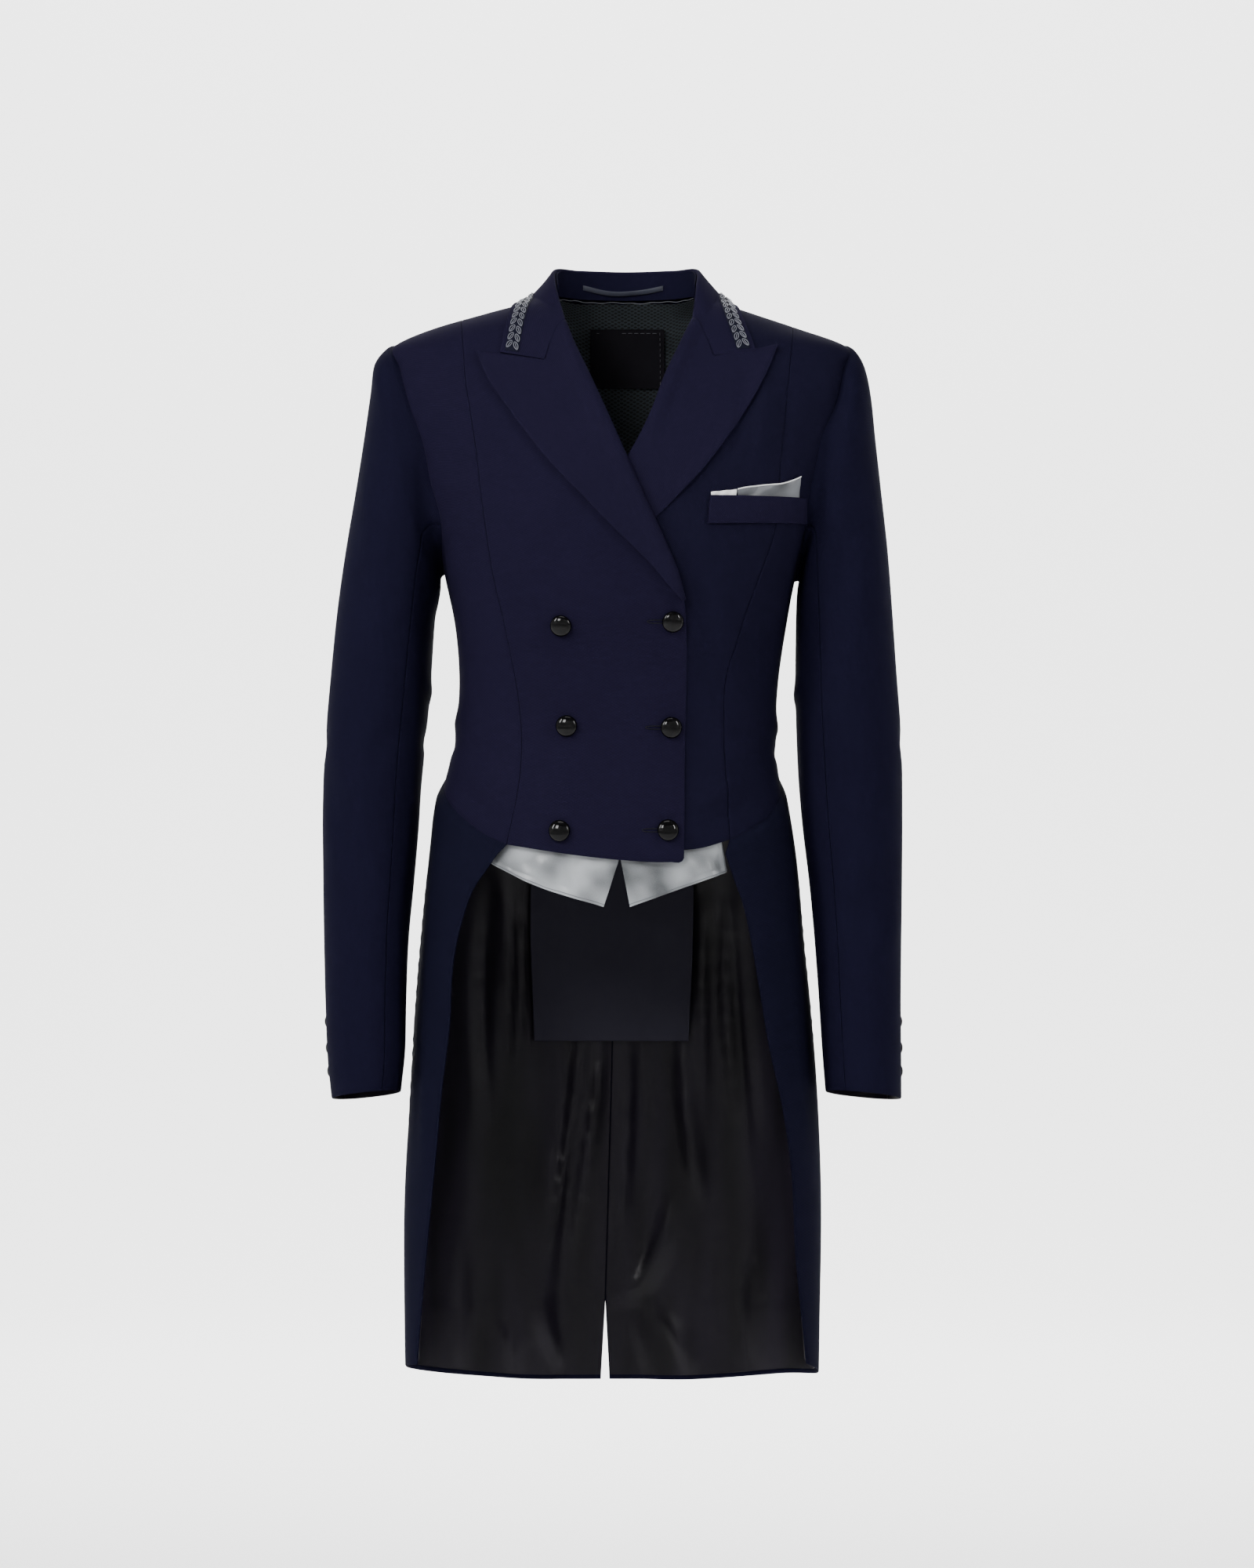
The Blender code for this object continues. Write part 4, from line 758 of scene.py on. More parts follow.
def cloth(name, grid, wall, finish, node, held, inside=None):
    """A closed sheet of cloth whose inner face runs through a grid, with softly turned edges.

    Its inner face can have a finish of its own. How it is held is not used."""
    inner = edged(grid)
    normals = grid_normals(inner)
    outer = inner + normals * wall
    for edge in (np.s_[0], np.s_[-1], np.s_[:, 0], np.s_[:, -1]):
        outer[edge] = inner[edge] + normals[edge] * (wall - TURN)
    mesh, inner_faces = sheet_mesh(name, inner, outer)
    mesh.materials.append(finish)
    if inside:
        mesh.materials.append(inside)
        for number in inner_faces:
            mesh.polygons[number].material_index = 1
    obj = linked(name, mesh)
    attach(obj, "root")
    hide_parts(node)
    if not held:
        return


def overlap_depth(points):
    """How far the left front is tucked in under the right one."""
    roll = np.array(ROLL["right"] + FRONT_EDGE["right"][1:])[::-1]
    edge = np.interp(points[..., 2], roll[:, 1], roll[:, 0])
    beyond = points[..., 0] - edge
    break_z, over = TUCK_BREAK
    start, width = TUCK_FADE
    layers = TUCK_LAYERS + TUCK_LAYERS * ease((points[..., 2] - break_z) / over)
    return layers * LAYER * (1 - ease((beyond - start) / width))


def ring_turns():
    """The points of a sleeve's ring as how far each lies up and forward of its middle, from -1 to 1."""
    turn = 2 * np.pi * np.arange(RING) / RING
    up, forward = np.cos(turn), np.sin(turn)
    power = 2 / SLEEVE_SQUARENESS
    return np.sign(up) * np.abs(up) ** power, np.sign(forward) * np.abs(forward) ** power


def armhole(side):
    """The front and back halves of an armhole, from the shoulder down, a point for each of the sleeve's."""
    tip = on_shoulder([SHOULDER_X[side]])
    low = at_side(side, UNDERARM_Z[side])
    middle, half = (tip[0, 2] + low[0, 2]) / 2, (tip[0, 2] - low[0, 2]) / 2
    up, forward = ring_turns()
    at = np.arctan2(forward, up)[: RING // 2 + 1]
    at[-1] = np.pi
    halves = []
    for places in (on_front(ARMHOLE_FRONT[side]), on_back(ARMHOLE_BACK[side])):
        curve = through([tip, places, low], 300)
        angle = np.arctan2(np.abs(curve[:, 1]) / ARMHOLE_HALF_WIDTH, (curve[:, 2] - middle) / half)
        halves.append(read_at(at, angle, curve))
    return halves


def shoulder(side, from_x, to_x, count):
    return through(on_shoulder(np.linspace(from_x, to_x, 6)), count)


def princess(side, count):
    top = on_shoulder([PRINCESS_TOP_X[side]])
    return through([top, on_front(PRINCESS[side])], count)


def waist(side, front_count, back_count):
    """The waist seam in two runs: from the centre back to the side, and from the side to the front."""
    start = on_back([(0.0, WAIST_BACK_Z)])
    middle = at_side(side, WAIST_SIDE_Z)
    quarter = on_back([(SIGN[side] * x, z) for x, z in (BACK_PRINCESS_END, WAIST_QUARTER)])
    back = through([start, quarter, middle], back_count)
    front = through([middle, on_front(WAIST_FRONT[side])], front_count)
    return back, front


def back_princess(side, count):
    """The curved seam between a back and its side back."""
    start = armhole(side)[1][RING // 4 : RING // 4 + 1]
    places = [(CENTRE_BACK_X + SIGN[side] * x, z) for x, z in BACK_PRINCESS]
    places.append((SIGN[side] * BACK_PRINCESS_END[0], BACK_PRINCESS_END[1]))
    return through([start, on_back(places)], count)


def shortened(grid, side, by):
    """The grid with each row drawn in at its left or right end by these lengths, its columns spread again."""
    rows = []
    for row, less in zip(grid, by):
        length = lengths_along(row)
        first, last = (less, length[-1]) if side == "l" else (0, length[-1] - less)
        rows.append(read_at(first + (last - first) * length / length[-1], length, row))
    return np.array(rows)


def panel(name, grid, depth, finish, drawn_in=""):
    """A panel of the body: its inner face lies the wall's thickness inside the form, plus this depth."""
    points = to_form(grid)
    points = on_coat(points, -(CLOTH + depth(points)))
    points = trimmed(points, "lrtb", SEWN)
    if drawn_in:
        above_break = np.arange(len(points)) / ROWS_LAPEL
        turned = ease((1 - above_break) * 12 + 0.5)  # fades out over the last twelfth above the break
        points = shortened(points, drawn_in, ROLL_RADIUS * 0.97 * turned)
    cloth(f"{name}_wool", facing_out(points), CLOTH, finish, name, "hung")


def untucked(points):
    return np.zeros(points.shape[:-1])


def front_panel(side, finish):
    """From the princess seam to the front edge, which turns back along the roll line above the break."""
    rows = ROWS_LAPEL + ROWS_EDGE
    neck = on_shoulder([NECK_X[side]])
    roll = through([neck, on_front(ROLL[side])], ROWS_LAPEL)
    edge = joined(roll, through(on_front(FRONT_EDGE[side]), ROWS_EDGE))
    seam = princess(side, rows)
    hem = through(on_front(FRONT_HEM[side]), FRONT_COLUMNS)
    # Both run from the wearer's right to the left
    if side == "right":
        top = shoulder(side, PRINCESS_TOP_X[side], NECK_X[side], FRONT_COLUMNS)
        panel("right_front", filled(seam, edge, top, hem), untucked, finish, "r")
    else:
        top = shoulder(side, NECK_X[side], PRINCESS_TOP_X[side], FRONT_COLUMNS)
        panel("left_front", filled(edge, seam, top, hem), overlap_depth, finish, "l")


def side_front(side, finish):
    """From the armhole and side seam to the princess seam."""
    front = armhole(side)[0]
    rows = ROWS_LAPEL + ROWS_EDGE - RING // 2
    heights = np.linspace(UNDERARM_Z[side], WAIST_SIDE_Z, rows + 1)
    outer = joined(front, at_side(side, heights))
    seam = princess(side, len(outer) - 1)
    top = shoulder(side, SHOULDER_X[side], PRINCESS_TOP_X[side], WAIST_COLUMNS)
    bottom = waist(side, WAIST_COLUMNS, 4)[1]
    grid = filled(outer, seam, top, bottom)
    depth = overlap_depth if side == "left" else untucked
    panel(f"{side}_side_front", grid, depth, finish)


def back_points(side):
    """The outer face of a back, from the armhole and the curved back seam to the centre back."""
    upper = armhole(side)[1][: RING // 4 + 1]
    outer = joined(upper, back_princess(side, BACK_ROWS))
    neck_centre = on_back([(CENTRE_BACK_X, NECK_Z)])
    neck_mid = on_back([((CENTRE_BACK_X + NECK_X[side] * 0.62), NECK_Z)])
    neck = on_shoulder([NECK_X[side]])
    centre_end = on_back([(0.0, WAIST_BACK_Z)])
    centre = through([neck_centre, on_back(CENTRE_BACK), centre_end], len(outer) - 1)
    top = joined(
        shoulder(side, SHOULDER_X[side], NECK_X[side], BACK_COLUMNS // 2),
        through([neck, neck_mid, neck_centre], BACK_COLUMNS // 2),
    )
    low_mid = on_back([(outer[-1, 0] / 2, WAIST_BACK_Z - 0.001)])
    low = through([outer[-1:], low_mid, centre_end], BACK_COLUMNS)
    return to_form(filled(outer, centre, top, low))


def side_back(side, finish):
    """From the curved back seam to the side seam, under the back of the armhole."""
    lower = armhole(side)[1][RING // 4 :]
    inner = back_princess(side, BACK_ROWS)
    outer = at_side(side, np.linspace(UNDERARM_Z[side], WAIST_SIDE_Z, BACK_ROWS + 1))
    middle = on_back([(SIGN[side] * WAIST_QUARTER[0], WAIST_QUARTER[1])])
    bottom = through([inner[-1:], middle, outer[-1:]], RING // 4)
    panel(f"{side}_side_back", filled(inner, outer, lower, bottom), untucked, finish)


def flute_height(points):
    """How far the tails' soft flutes stand out at these points."""
    centre, half, _, _, _ = section(points[..., 2])
    hem_half = section(HEM_BACK_Z)[1]
    spread = (points[..., 0] - centre) * hem_half / half
    grown = ease((FLUTES_START_Z - points[..., 2]) / FLUTES_GROWTH) * (points[..., 1] > 0)
    height = np.zeros(points.shape[:-1])
    for x, width, out in FLUTES:
        height += out * bell(spread - x, width)
    return height * grown * np.clip(points[..., 1] / FLUTES_FROM_Y, 0, 1)


def tail_points(side):
    """The outer face of a tail: rows run down, columns from the centre back to the front edge."""
    back, front = waist(side, WAIST_COLUMNS, TAIL_BACK_COLUMNS)
    top = joined(back, front)
    vent = [TAIL_SEAM[-1], (TAIL_SEAM[-1][0] + SIGN[side] * VENT_HALF_GAP, HEM_BACK_Z)]
    seam = through(on_back(TAIL_SEAM), TAIL_ROWS - VENT_ROWS)
    centre = joined(seam, through(on_back(vent), VENT_ROWS))
    edge = through(on_front(TAIL_EDGE[side]), TAIL_ROWS)
    edge[0] = front[-1]
    half = abs(at_side(side, HEM_SIDE_Z[side])[0, 0])
    hem = on_back([(SIGN[side] * half * share, HEM_BACK_Z + rise) for share, rise in HEM_RISES])
    bottom = through([centre[-1:], hem, at_side(side, HEM_SIDE_Z[side]), edge[-1:]], len(top) - 1)
    points = to_form(filled(centre, edge, top, bottom))
    below = away_from(points[:1], points)
    spring = TAIL_SPRING * ease(below / TAIL_SPRING_HEIGHT)
    normals = unit(gradient(points))
    creases = crease_height(points, normals, "tail")
    creases += crease_height(points, normals, "body") * (1 - ease(below / TAIL_CREASE_FADE))
    return raised(points, spring + flute_height(points) + creases)


def facing_in(grid, distance):
    """A grid moved towards the coat's middle line by this distance, along the way that it faces."""
    normals = grid_normals(grid)
    outward = np.sign(np.sum(normals * (grid * (1, 1, 0))))
    return grid - normals * outward * np.asarray(distance)[..., None]


def fold_depth(points):
    """How far the satin's folds stand in at these points, none along its sewn edges."""
    depth = np.zeros(points.shape[:-1])
    for *places, width, height in LINING_FOLDS:
        depth += run_height(points[..., 0], points[..., 2], places, width, height)
    depth = np.maximum(depth, 0) + LINING_CLEAR
    for edge, fade in zip((points[:, -1:], points[:, :1], points[:1]), FOLD_FADES):
        depth = depth * ease(away_from(edge, points) / fade)
    return depth * (points[..., 1] > -0.02)  # none in front of the side


def add_tails(finish, lining_finish):
    for side in ("right", "left"):
        outer = tail_points(side)
        wool = facing_out(trimmed(facing_in(outer, CLOTH), "lt", CLOSED))
        cloth(f"{side}_tail_wool", wool, CLOTH, finish, f"{side}_tail", "hung")
        step, over = LINING_HEM_STEP
        hem = step * ease((LINING_HEM_Z - outer[..., 2]) / over)
        inner = facing_in(outer, CLOTH + LINING_GAP + LINING + fold_depth(outer) + hem)
        for edge, by in (("r", LINING_INSET), ("b", LINING_HEM_INSET), ("t", CLOSED), ("l", 3 * SEWN)):
            inner = trimmed(inner, edge, by)
        inner, name = facing_out(inner), f"{side}_tail_lining"
        cloth(f"{name}_satin", inner, LINING, lining_finish, name, "hung")


def sleeve_rings(side):
    """The rings of a sleeve's outer face, from the armhole to the cuff."""
    front, back = armhole(side)
    hole = np.concatenate([front, back[-2:0:-1]])
    up, forward = ring_turns()
    share = (1 + up) / 2
    rings = []
    for row in SLEEVE:
        top_z, under_z, right_top, right_under, left_top, left_under, middle_y, half_y = row
        top_x, under_x = (right_top, right_under) if side == "right" else (left_top, left_under)
        x, z = between(under_x, top_x, share), between(under_z, top_z, share)
        rings.append(np.stack([x, middle_y - half_y * forward, z], axis=-1))
    rings = np.array(rings)
    rings[-1, :, 2] += CUFF_DROP * (forward - CUFF_LEVEL) / 2
    hole_share, rise = SLEEVE_HEAD
    rings[0] = between(rings[0], raised(hole, np.full(RING, rise)), hole_share)
    head = rings[:SLEEVE_HEAD_RINGS]
    head[:] = kept_outside(head, SLEEVE_CLEAR)
    slope_z, fall = SHOULDER_SLOPE
    past_shoulder = np.maximum(np.abs(head[..., 0]) - np.abs(SHOULDER_X[side]), 0)
    head[..., 2] = np.minimum(head[..., 2], slope_z - fall * past_shoulder)
    start = raised(hole, np.full(RING, SLEEVE_START))
    turned_in = start - unit(rings[0] - start) * SLEEVE_TURNED_IN
    rings = np.concatenate([turned_in[None], start[None], rings])
    table = np.column_stack([np.arange(len(rings)), rings.reshape(len(rings), -1)])
    rows = np.linspace(0, len(rings) - 1, (len(rings) - 1) * FINE + 1)
    return smooth(table, rows).reshape(len(rows), RING, 3)


def sleeve_normals(rings):
    """The outward direction at each point of a sleeve."""
    closed = np.concatenate([rings[:, -1:], rings, rings[:, :1]], axis=1)
    outward = grid_normals(closed)[:, 1:-1]
    return outward * np.sign(np.sum(outward * (rings - rings.mean(axis=1, keepdims=True))))


def creased_sleeve(side):
    rings = sleeve_rings(side)
    outward = sleeve_normals(rings)
    return rings + outward * crease_height(rings, outward, f"{side}_sleeve")[..., None]


def add_sleeves(finish, inside):
    """Each sleeve's two pieces. Their inner faces have the finish of the sleeve's lining."""
    for side in ("right", "left"):
        rings = creased_sleeve(side)
        core = rings.mean(axis=1, keepdims=True)
        rings = rings - sleeve_normals(rings) * CLOTH
        top = np.arange(BACK_SEAM_AT, FRONT_SEAM_AT + 1) % RING
        under = np.arange(FRONT_SEAM_AT, RING + BACK_SEAM_AT + 1) % RING
        for part, columns in (("top_sleeve", top), ("under_sleeve", under)):
            grid = trimmed(facing_out(rings[:, columns], core), "lr")
            name = f"{side}_{part}"
            cloth(f"{name}_wool", grid, CLOTH, finish, name, "hung", inside=inside)


def rolled(grid, wall, radius, turn):
    """The grid with its last column drawn in by the radius, then rolled over and under by these degrees."""
    normals = grid_normals(grid)[:, -1]
    outward = unit(grid[:, -1] - grid[:, -2])
    radius = np.broadcast_to(radius, len(grid))
    middle = grid[:, -1] - outward * radius[:, None] - normals * (radius - wall)[:, None]
    curl = []
    for angle in np.radians(np.linspace(0, turn, 12)[1:]):
        swing = outward * math.sin(angle) + normals * math.cos(angle)
        curl.append(middle + swing * (radius - wall)[:, None])
    return np.concatenate([shortened(grid, "r", radius), np.stack(curl, axis=1)], axis=1)


def lapel(side, finish):
    """The turned-back top of a front, from its peak to the break point, rolled along the roll line."""
    rows = 14 * FINE
    outer = through(on_front(LAPEL_EDGE[side]), rows)
    roll = through(on_front(ROLL[side]), rows)
    gorge = on_front(GORGE[side])
    notch = through([on_front([PEAK[side]]), gorge[-1:]], 3 * FINE)
    top = joined(notch, through(gorge[::-1], 3 * FINE))
    bottom = through([outer[-1:], roll[-1:]], 6 * FINE)
    points = to_form(filled(outer, roll, top, bottom))
    from_roll = away_from(points[:, -1:], points)
    height, distance, width = LAPEL_SWELL
    swell = height * bell(from_roll - distance, width) * ease(from_roll / LAPEL_SWELL_START)
    lift = LAPEL_LIFT[0] * bell(away_from(points[:, :1], points), LAPEL_LIFT[1])
    tucked = overlap_depth(points) if side == "left" else untucked(points)
    points = on_coat(points, LAYER - CLOTH - tucked + (swell + lift) * (1 - ease(tucked / LAYER)))
    points = trimmed(points, "t", GORGE_GAP)
    if np.sum(grid_normals(points) * (points * (1, 1, 0))) <= 0:
        points = points[::-1]
    points = rolled(points, CLOTH, ROLL_RADIUS, ROLL_TURN)
    name = f"{side}_lapel"
    cloth(f"{name}_wool", points, CLOTH, finish, name, "folded")


def mirrored(places):
    """A run round the neck from its left half, given from the centre back: right end first."""
    right = [(COLLAR_X - x, y, z) for x, y, z in places[::-1]]
    left = [(COLLAR_X + x, y, z) for x, y, z in places[1:]]
    return right + left


def collar_ends():
    """The two front ends of the collar, along the gorge and the notch to the collar's points."""
    ends = {}
    for side in ("right", "left"):
        gorge = through(on_front(GORGE[side]), 3)
        notch = through(on_front([GORGE[side][-1], COLLAR_POINT[side]]), 3)
        ends[side] = joined(gorge, notch)
    return ends


def collar_fall():
    """The turned-down part of the collar: rows run from the fold to the outer edge."""
    ends = collar_ends()
    fold = through([ends["right"][0], *mirrored(FOLD), ends["left"][0]], COLLAR_COLUMNS)
    edge = through([ends["right"][-1], *mirrored(COLLAR_EDGE), ends["left"][-1]], COLLAR_COLUMNS)
    down = np.linspace(0, 1, COLLAR_ROWS + 1)[:, None, None]
    grid = between(fold, edge, down)
    across = np.linspace(0, 1, COLLAR_COLUMNS + 1)[None, :, None]
    for side, near in (("right", across), ("left", 1 - across)):
        shape = through_corner(ends[side], COLLAR_ROWS)[:, None]
        bow = shape - between(shape[0], shape[-1], down)
        grid = grid + bow * (1 - ease(near / COLLAR_END_SHARE))
    return kept_outside(grid, LAYER - CLOTH + REST_GAP)


def braid_ribbon(fall):
    """The ground that the leaves lie on: five rows of points a little above the fall, along its edge."""
    lifted = fall + grid_normals(fall) * (CLOTH + REST_GAP)
    at = np.linspace(*BRAID_FROM_EDGE, 5)
    rows = [read_at(at, lengths_along(column), column) for column in lifted.transpose(1, 0, 2)[1:-1, ::-1]]
    return np.array(rows).transpose(1, 0, 2)[::-1]


def leaf_threads(ribbon, normals, foot, way_up, side):
    """The threads of one leaf of the braid: its outline and a vein, lying on the ribbon.

    Its foot lies at this place along the strip and to one side of the middle. Its tip leans inwards."""
    length = lengths_along(ribbon[2])
    lean = math.asin((LEAF_BASE - LEAF_TIP) / LEAF_LENGTH)
    turn = np.linspace(0, 2 * np.pi, 25)
    share = (1 - np.cos(turn)) / 2
    swell = np.sin(turn) * (0.75 + 0.25 * np.sin(np.pi * share)) * LEAF_HALF_WIDTH
    outline = np.stack([share, swell], axis=1)
    vein = np.stack([np.linspace(0.12, 0.80, 7), np.zeros(7)], axis=1)
    runs = []
    for shape, crown in ((outline, LEAF_CROWN), (vein, VEIN_CROWN)):
        on, out = shape[:, 0] * LEAF_LENGTH, shape[:, 1]
        s = foot + way_up * (on * math.cos(lean) + out * math.sin(lean))
        t = side * (LEAF_BASE - on * math.sin(lean) + out * math.cos(lean))
        spot, way, low = (read_at(s, length, row) for row in (ribbon[2], normals[2], ribbon[-1] - ribbon[0]))
        lift = RIBBON + (crown + 0.0003 * np.sin(np.pi * np.clip(shape[:, 0], 0, 1)))
        runs.append(spot + unit(low) * t[:, None] + way * lift[:, None])
    return runs


def inwards(points):
    """The level direction from each point to the middle of the neck."""
    return unit((np.array([COLLAR_X, NECK_MIDDLE_Y, 0]) - points) * (1, 1, 0))


def add_braid(fall, ground, silver):
    """The braid on the fall: its dark ground and two rows of leaves that start at the collar's ends."""
    ribbon = braid_ribbon(fall)
    strip = facing_out(ribbon)
    cloth("leaf_braid_ground", strip, RIBBON, ground, "leaf_braid", "laid")
    normals = grid_normals(ribbon)
    normals *= np.sign(np.sum(normals[:, COLLAR_COLUMNS // 2, 1]))
    middle = lengths_along(ribbon[2])[-1] / 2
    runs = []
    for end in (-1, 1):
        for number in range(int(middle / LEAF_PITCH)):
            for side in (-1, 1):
                in_from_end = BRAID_END + LEAF_PITCH * (number + LEAF_STAGGER * (side > 0))
                runs += leaf_threads(ribbon, normals, middle + end * (middle - in_from_end), -end, side)
    thread_runs("leaf_braid_leaves", runs, LEAF_THREAD, silver)


def add_collar(finish, inside, silver, ground, seam_thread):
    fall = facing_out(collar_fall())
    columns = fall.transpose(1, 0, 2)[:, ::-1]
    turned = facing_out(rolled(columns, CLOTH, *COLLAR_ROLL).transpose(1, 0, 2)[::-1])
    cloth("collar_fall_wool", turned, CLOTH, finish, "collar_fall", "folded")
    add_braid(fall, ground, silver)

    seam = through(mirrored(NECK_SEAM), STAND_COLUMNS)
    share = np.linspace(0, 1, len(seam))
    wave = 0.0004 * np.sin(31 * share) + 0.0003 * np.sin(73 * share + 1)
    inside_face, below = NECK_THREAD_AT
    sewing = seam + inwards(seam) * (STAND_INSIDE + inside_face) + (wave - below)[:, None] * (0, 0, 1)
    behind = sewing[sewing[:, 1] > NECK_THREAD_FROM_Y]
    thread_runs("neck_seam_thread", [behind], NECK_THREAD, seam_thread)

    top = through(mirrored(FOLD), STAND_COLUMNS)
    down = np.linspace(STAND_TOP, 1, 4 * FINE + 1)[:, None, None]
    stand = between(top, seam, down)
    stand = stand + inwards(stand) * STAND_INSIDE
    grid = facing_out(stand)
    cloth("collar_stand_wool", grid, CLOTH, inside, "collar_stand", "stretched")
    return stand


def patch(corners, columns, rows, side=on_front):
    """A four-cornered piece on the form: top left, top right, bottom left, bottom right."""
    corners = np.array(corners, float)
    down = np.linspace(0, 1, rows + 1)[:, None, None]
    across = np.linspace(0, 1, columns + 1)[None, :, None]
    places = between(between(*corners[:2], across), between(*corners[2:], across), down)
    return side(places).reshape(rows + 1, columns + 1, 3)


def add_pocket(finish, white, silver):
    """The welt and, standing out of it, the white and the silver fold of a pocket square."""
    welt = facing_out(on_coat(patch(WELT, 48, 16), WELT_RISE))
    cloth("pocket_welt_wool", welt, CLOTH, finish, "pocket_welt", "stretched")
    tops = np.array(SQUARE_TOP)
    low = WELT[0][1] - SQUARE_IN_POCKET
    fold_z = np.interp(SQUARE_FOLD, tops[:, 0], tops[:, 1])
    before, after = SQUARE_FOLD - SQUARE_GAP, SQUARE_FOLD + SQUARE_GAP
    first = (tops[0], (before, fold_z), (tops[0, 0], low), (before, low))
    last = ((after, fold_z), tops[-1], (after, low), (tops[-1, 0], low))
    for name, corners, columns, fold_finish in (("white", first, 12, white), ("silver", last, 40, silver)):
        grid = patch(corners, columns, 14)
        across = np.linspace(0, 1, columns + 1)
        down = np.linspace(0, 1, 15)[:, None]
        ripple = SQUARE_RIPPLE * np.sin(7.5 * across + 1.3 * down + 0.4) ** 2 * ease((0.62 - down) / 0.45)
        grid[..., 2] -= SQUARE_SAG * np.sin(np.pi * across**2.2) * (1 - down) * (name == "silver")
        grid = on_coat(grid, 0.0002 + ripple)
        if name == "silver":
            hem = grid[0] + grid_normals(facing_out(grid))[0] * 0.0004
            rows = [hem, hem[::-1] + (0, -0.0001, 0.0004)]
            thread_runs("pocket_square_hem", rows, HEM_THREAD, white)
        grid, node = facing_out(grid), f"pocket_square_{name}"
        cloth(f"{node}_cloth", grid, TAPE, fold_finish, node, "folded")


def waistcoat_point(side):
    """The inner face of a waistcoat point, from its top, behind the front, down to the edge that shows."""
    centre_x = WAISTCOAT_CENTRE_X[side]
    low = through(on_front(WAISTCOAT_EDGE[side]), 8 * FINE)
    middle_x = 0.5 * (centre_x + WAISTCOAT_END_X[side])
    top_z = WAISTCOAT_TOP_Z
    tops = [(centre_x, top_z), (middle_x, top_z), (WAISTCOAT_END_X[side], top_z + 0.004)]
    high = through(on_front(tops), 8 * FINE)
    bend = on_front([(centre_x, WAISTCOAT_BEND_Z)])
    centre = joined(through([high[:1], bend], 2 * FINE), through([bend, low[:1]], 2 * FINE))
    end = through([high[-1], low[-1]], 4 * FINE)
    return to_form(filled(centre, end, high, low))


def add_waistcoat(silver, seam_thread):
    """Two satin points that hang behind the front hem, stitched along their turned edges."""
    behind = TUCK_LAYERS * LAYER + CLOTH + LINING_GAP + LINING
    start, over = WAISTCOAT_RIPPLE_FROM
    stitches = []
    for side in ("right", "left"):
        points = waistcoat_point(side)
        x, z = points[..., 0], points[..., 2]
        ripple = 0.0011 * np.sin(135 * x * SIGN[side] + 95 * (z + 0.45) + 0.6)
        ripple = (ripple + 0.0005 * np.sin(310 * x + 160 * z + 1.1)) * ease((start - z) / over)
        to_edge = np.minimum(away_from(points[-1:], points), away_from(points[:, -1:], points))
        pressed = 0
        for height, distance, width in (WAISTCOAT_RIDGE, WAISTCOAT_GROOVE):
            pressed = pressed + height * bell(to_edge - distance, width)
        points = facing_out(on_coat(points, -behind + ripple + pressed - WAISTCOAT_DEPTH))
        name = f"{side}_waistcoat"
        cloth(f"{name}_satin", points, LINING, silver, f"{name}_point", "hung")
        face = points + grid_normals(points) * (LINING + 0.0001)
        stitches.append(face[-1] + unit(face[-2] - face[-1]) * WAISTCOAT_STITCHES)
    thread_runs("waistcoat_stitches", stitches, STITCH_THREAD, seam_thread)


def across_back(right, left, columns):
    """The columns nearest the centre back of a right and a left grid, as one grid."""
    middle = (right[:, :1] + left[:, :1]) / 2
    return np.concatenate([right[:, columns:0:-1], middle, left[:, 1 : columns + 1]], axis=1)


def ended_at(grid, height):
    """A grid's rows down to this height, the last one cut off there."""
    columns = grid.transpose(1, 0, 2)
    count = min(np.sum(column[:, 2] > height + 0.004) for column in columns)
    cut = [np.concatenate([column[:count], read_at([-height], -column[:, 2], column)]) for column in columns]
    return np.array(cut).transpose(1, 0, 2)


def add_inner_panel(finish):
    """A plain panel that hangs from the waist seam inside the tails, proud of the lining's folds."""
    both = across_back(tail_points("right"), tail_points("left"), PANEL_COLUMNS)
    points = ended_at(both, PANEL_LOW_Z)
    down = arc_lengths(points, 0)
    x = points[..., 0]
    wave = 0.0008 * np.sin(60 * x + 18 * points[..., 2]) * ease(down / 0.1)
    stand = PANEL_STAND * ease(down / 0.05) + wave
    points = facing_in(points, CLOTH + 2 * LINING_GAP + 2 * LINING + stand)
    grid = facing_out(trimmed(points, "t", HUNG_BELOW))
    cloth("inner_panel_cloth", grid, LINING, finish, "inner_panel", "hung")


def add_neck_lining(mesh_finish, black):
    """Mesh inside the upper back, made from the backs' own points, and the blank label on it."""
    both = across_back(back_points("right")[:, ::-1], back_points("left")[:, ::-1], BACK_COLUMNS // 2)
    depth = CLOTH + LINING_GAP + LINING
    grid = facing_out(trimmed(facing_in(ended_at(both, MESH_LOW_Z), depth), "t", HUNG_BELOW))
    name = "back_neck_lining"
    cloth(f"{name}_mesh", grid, LINING, mesh_finish, name, "stretched")
    x, z = LABEL_MIDDLE
    wide, high = LABEL_SIZE[0] / 2, LABEL_SIZE[1] / 2
    corners = ((x - wide, z + high), (x + wide, z + high), (x - wide, z - high), (x + wide, z - high))
    grid = patch(corners, 36, 30, on_back)
    grid = raised(grid, np.full(grid.shape[:-1], -(depth + REST_GAP + LABEL_STAND + LINING)))
    cloth("blank_label_cloth", facing_out(grid), LINING, black, "blank_label", "laid")
    return grid


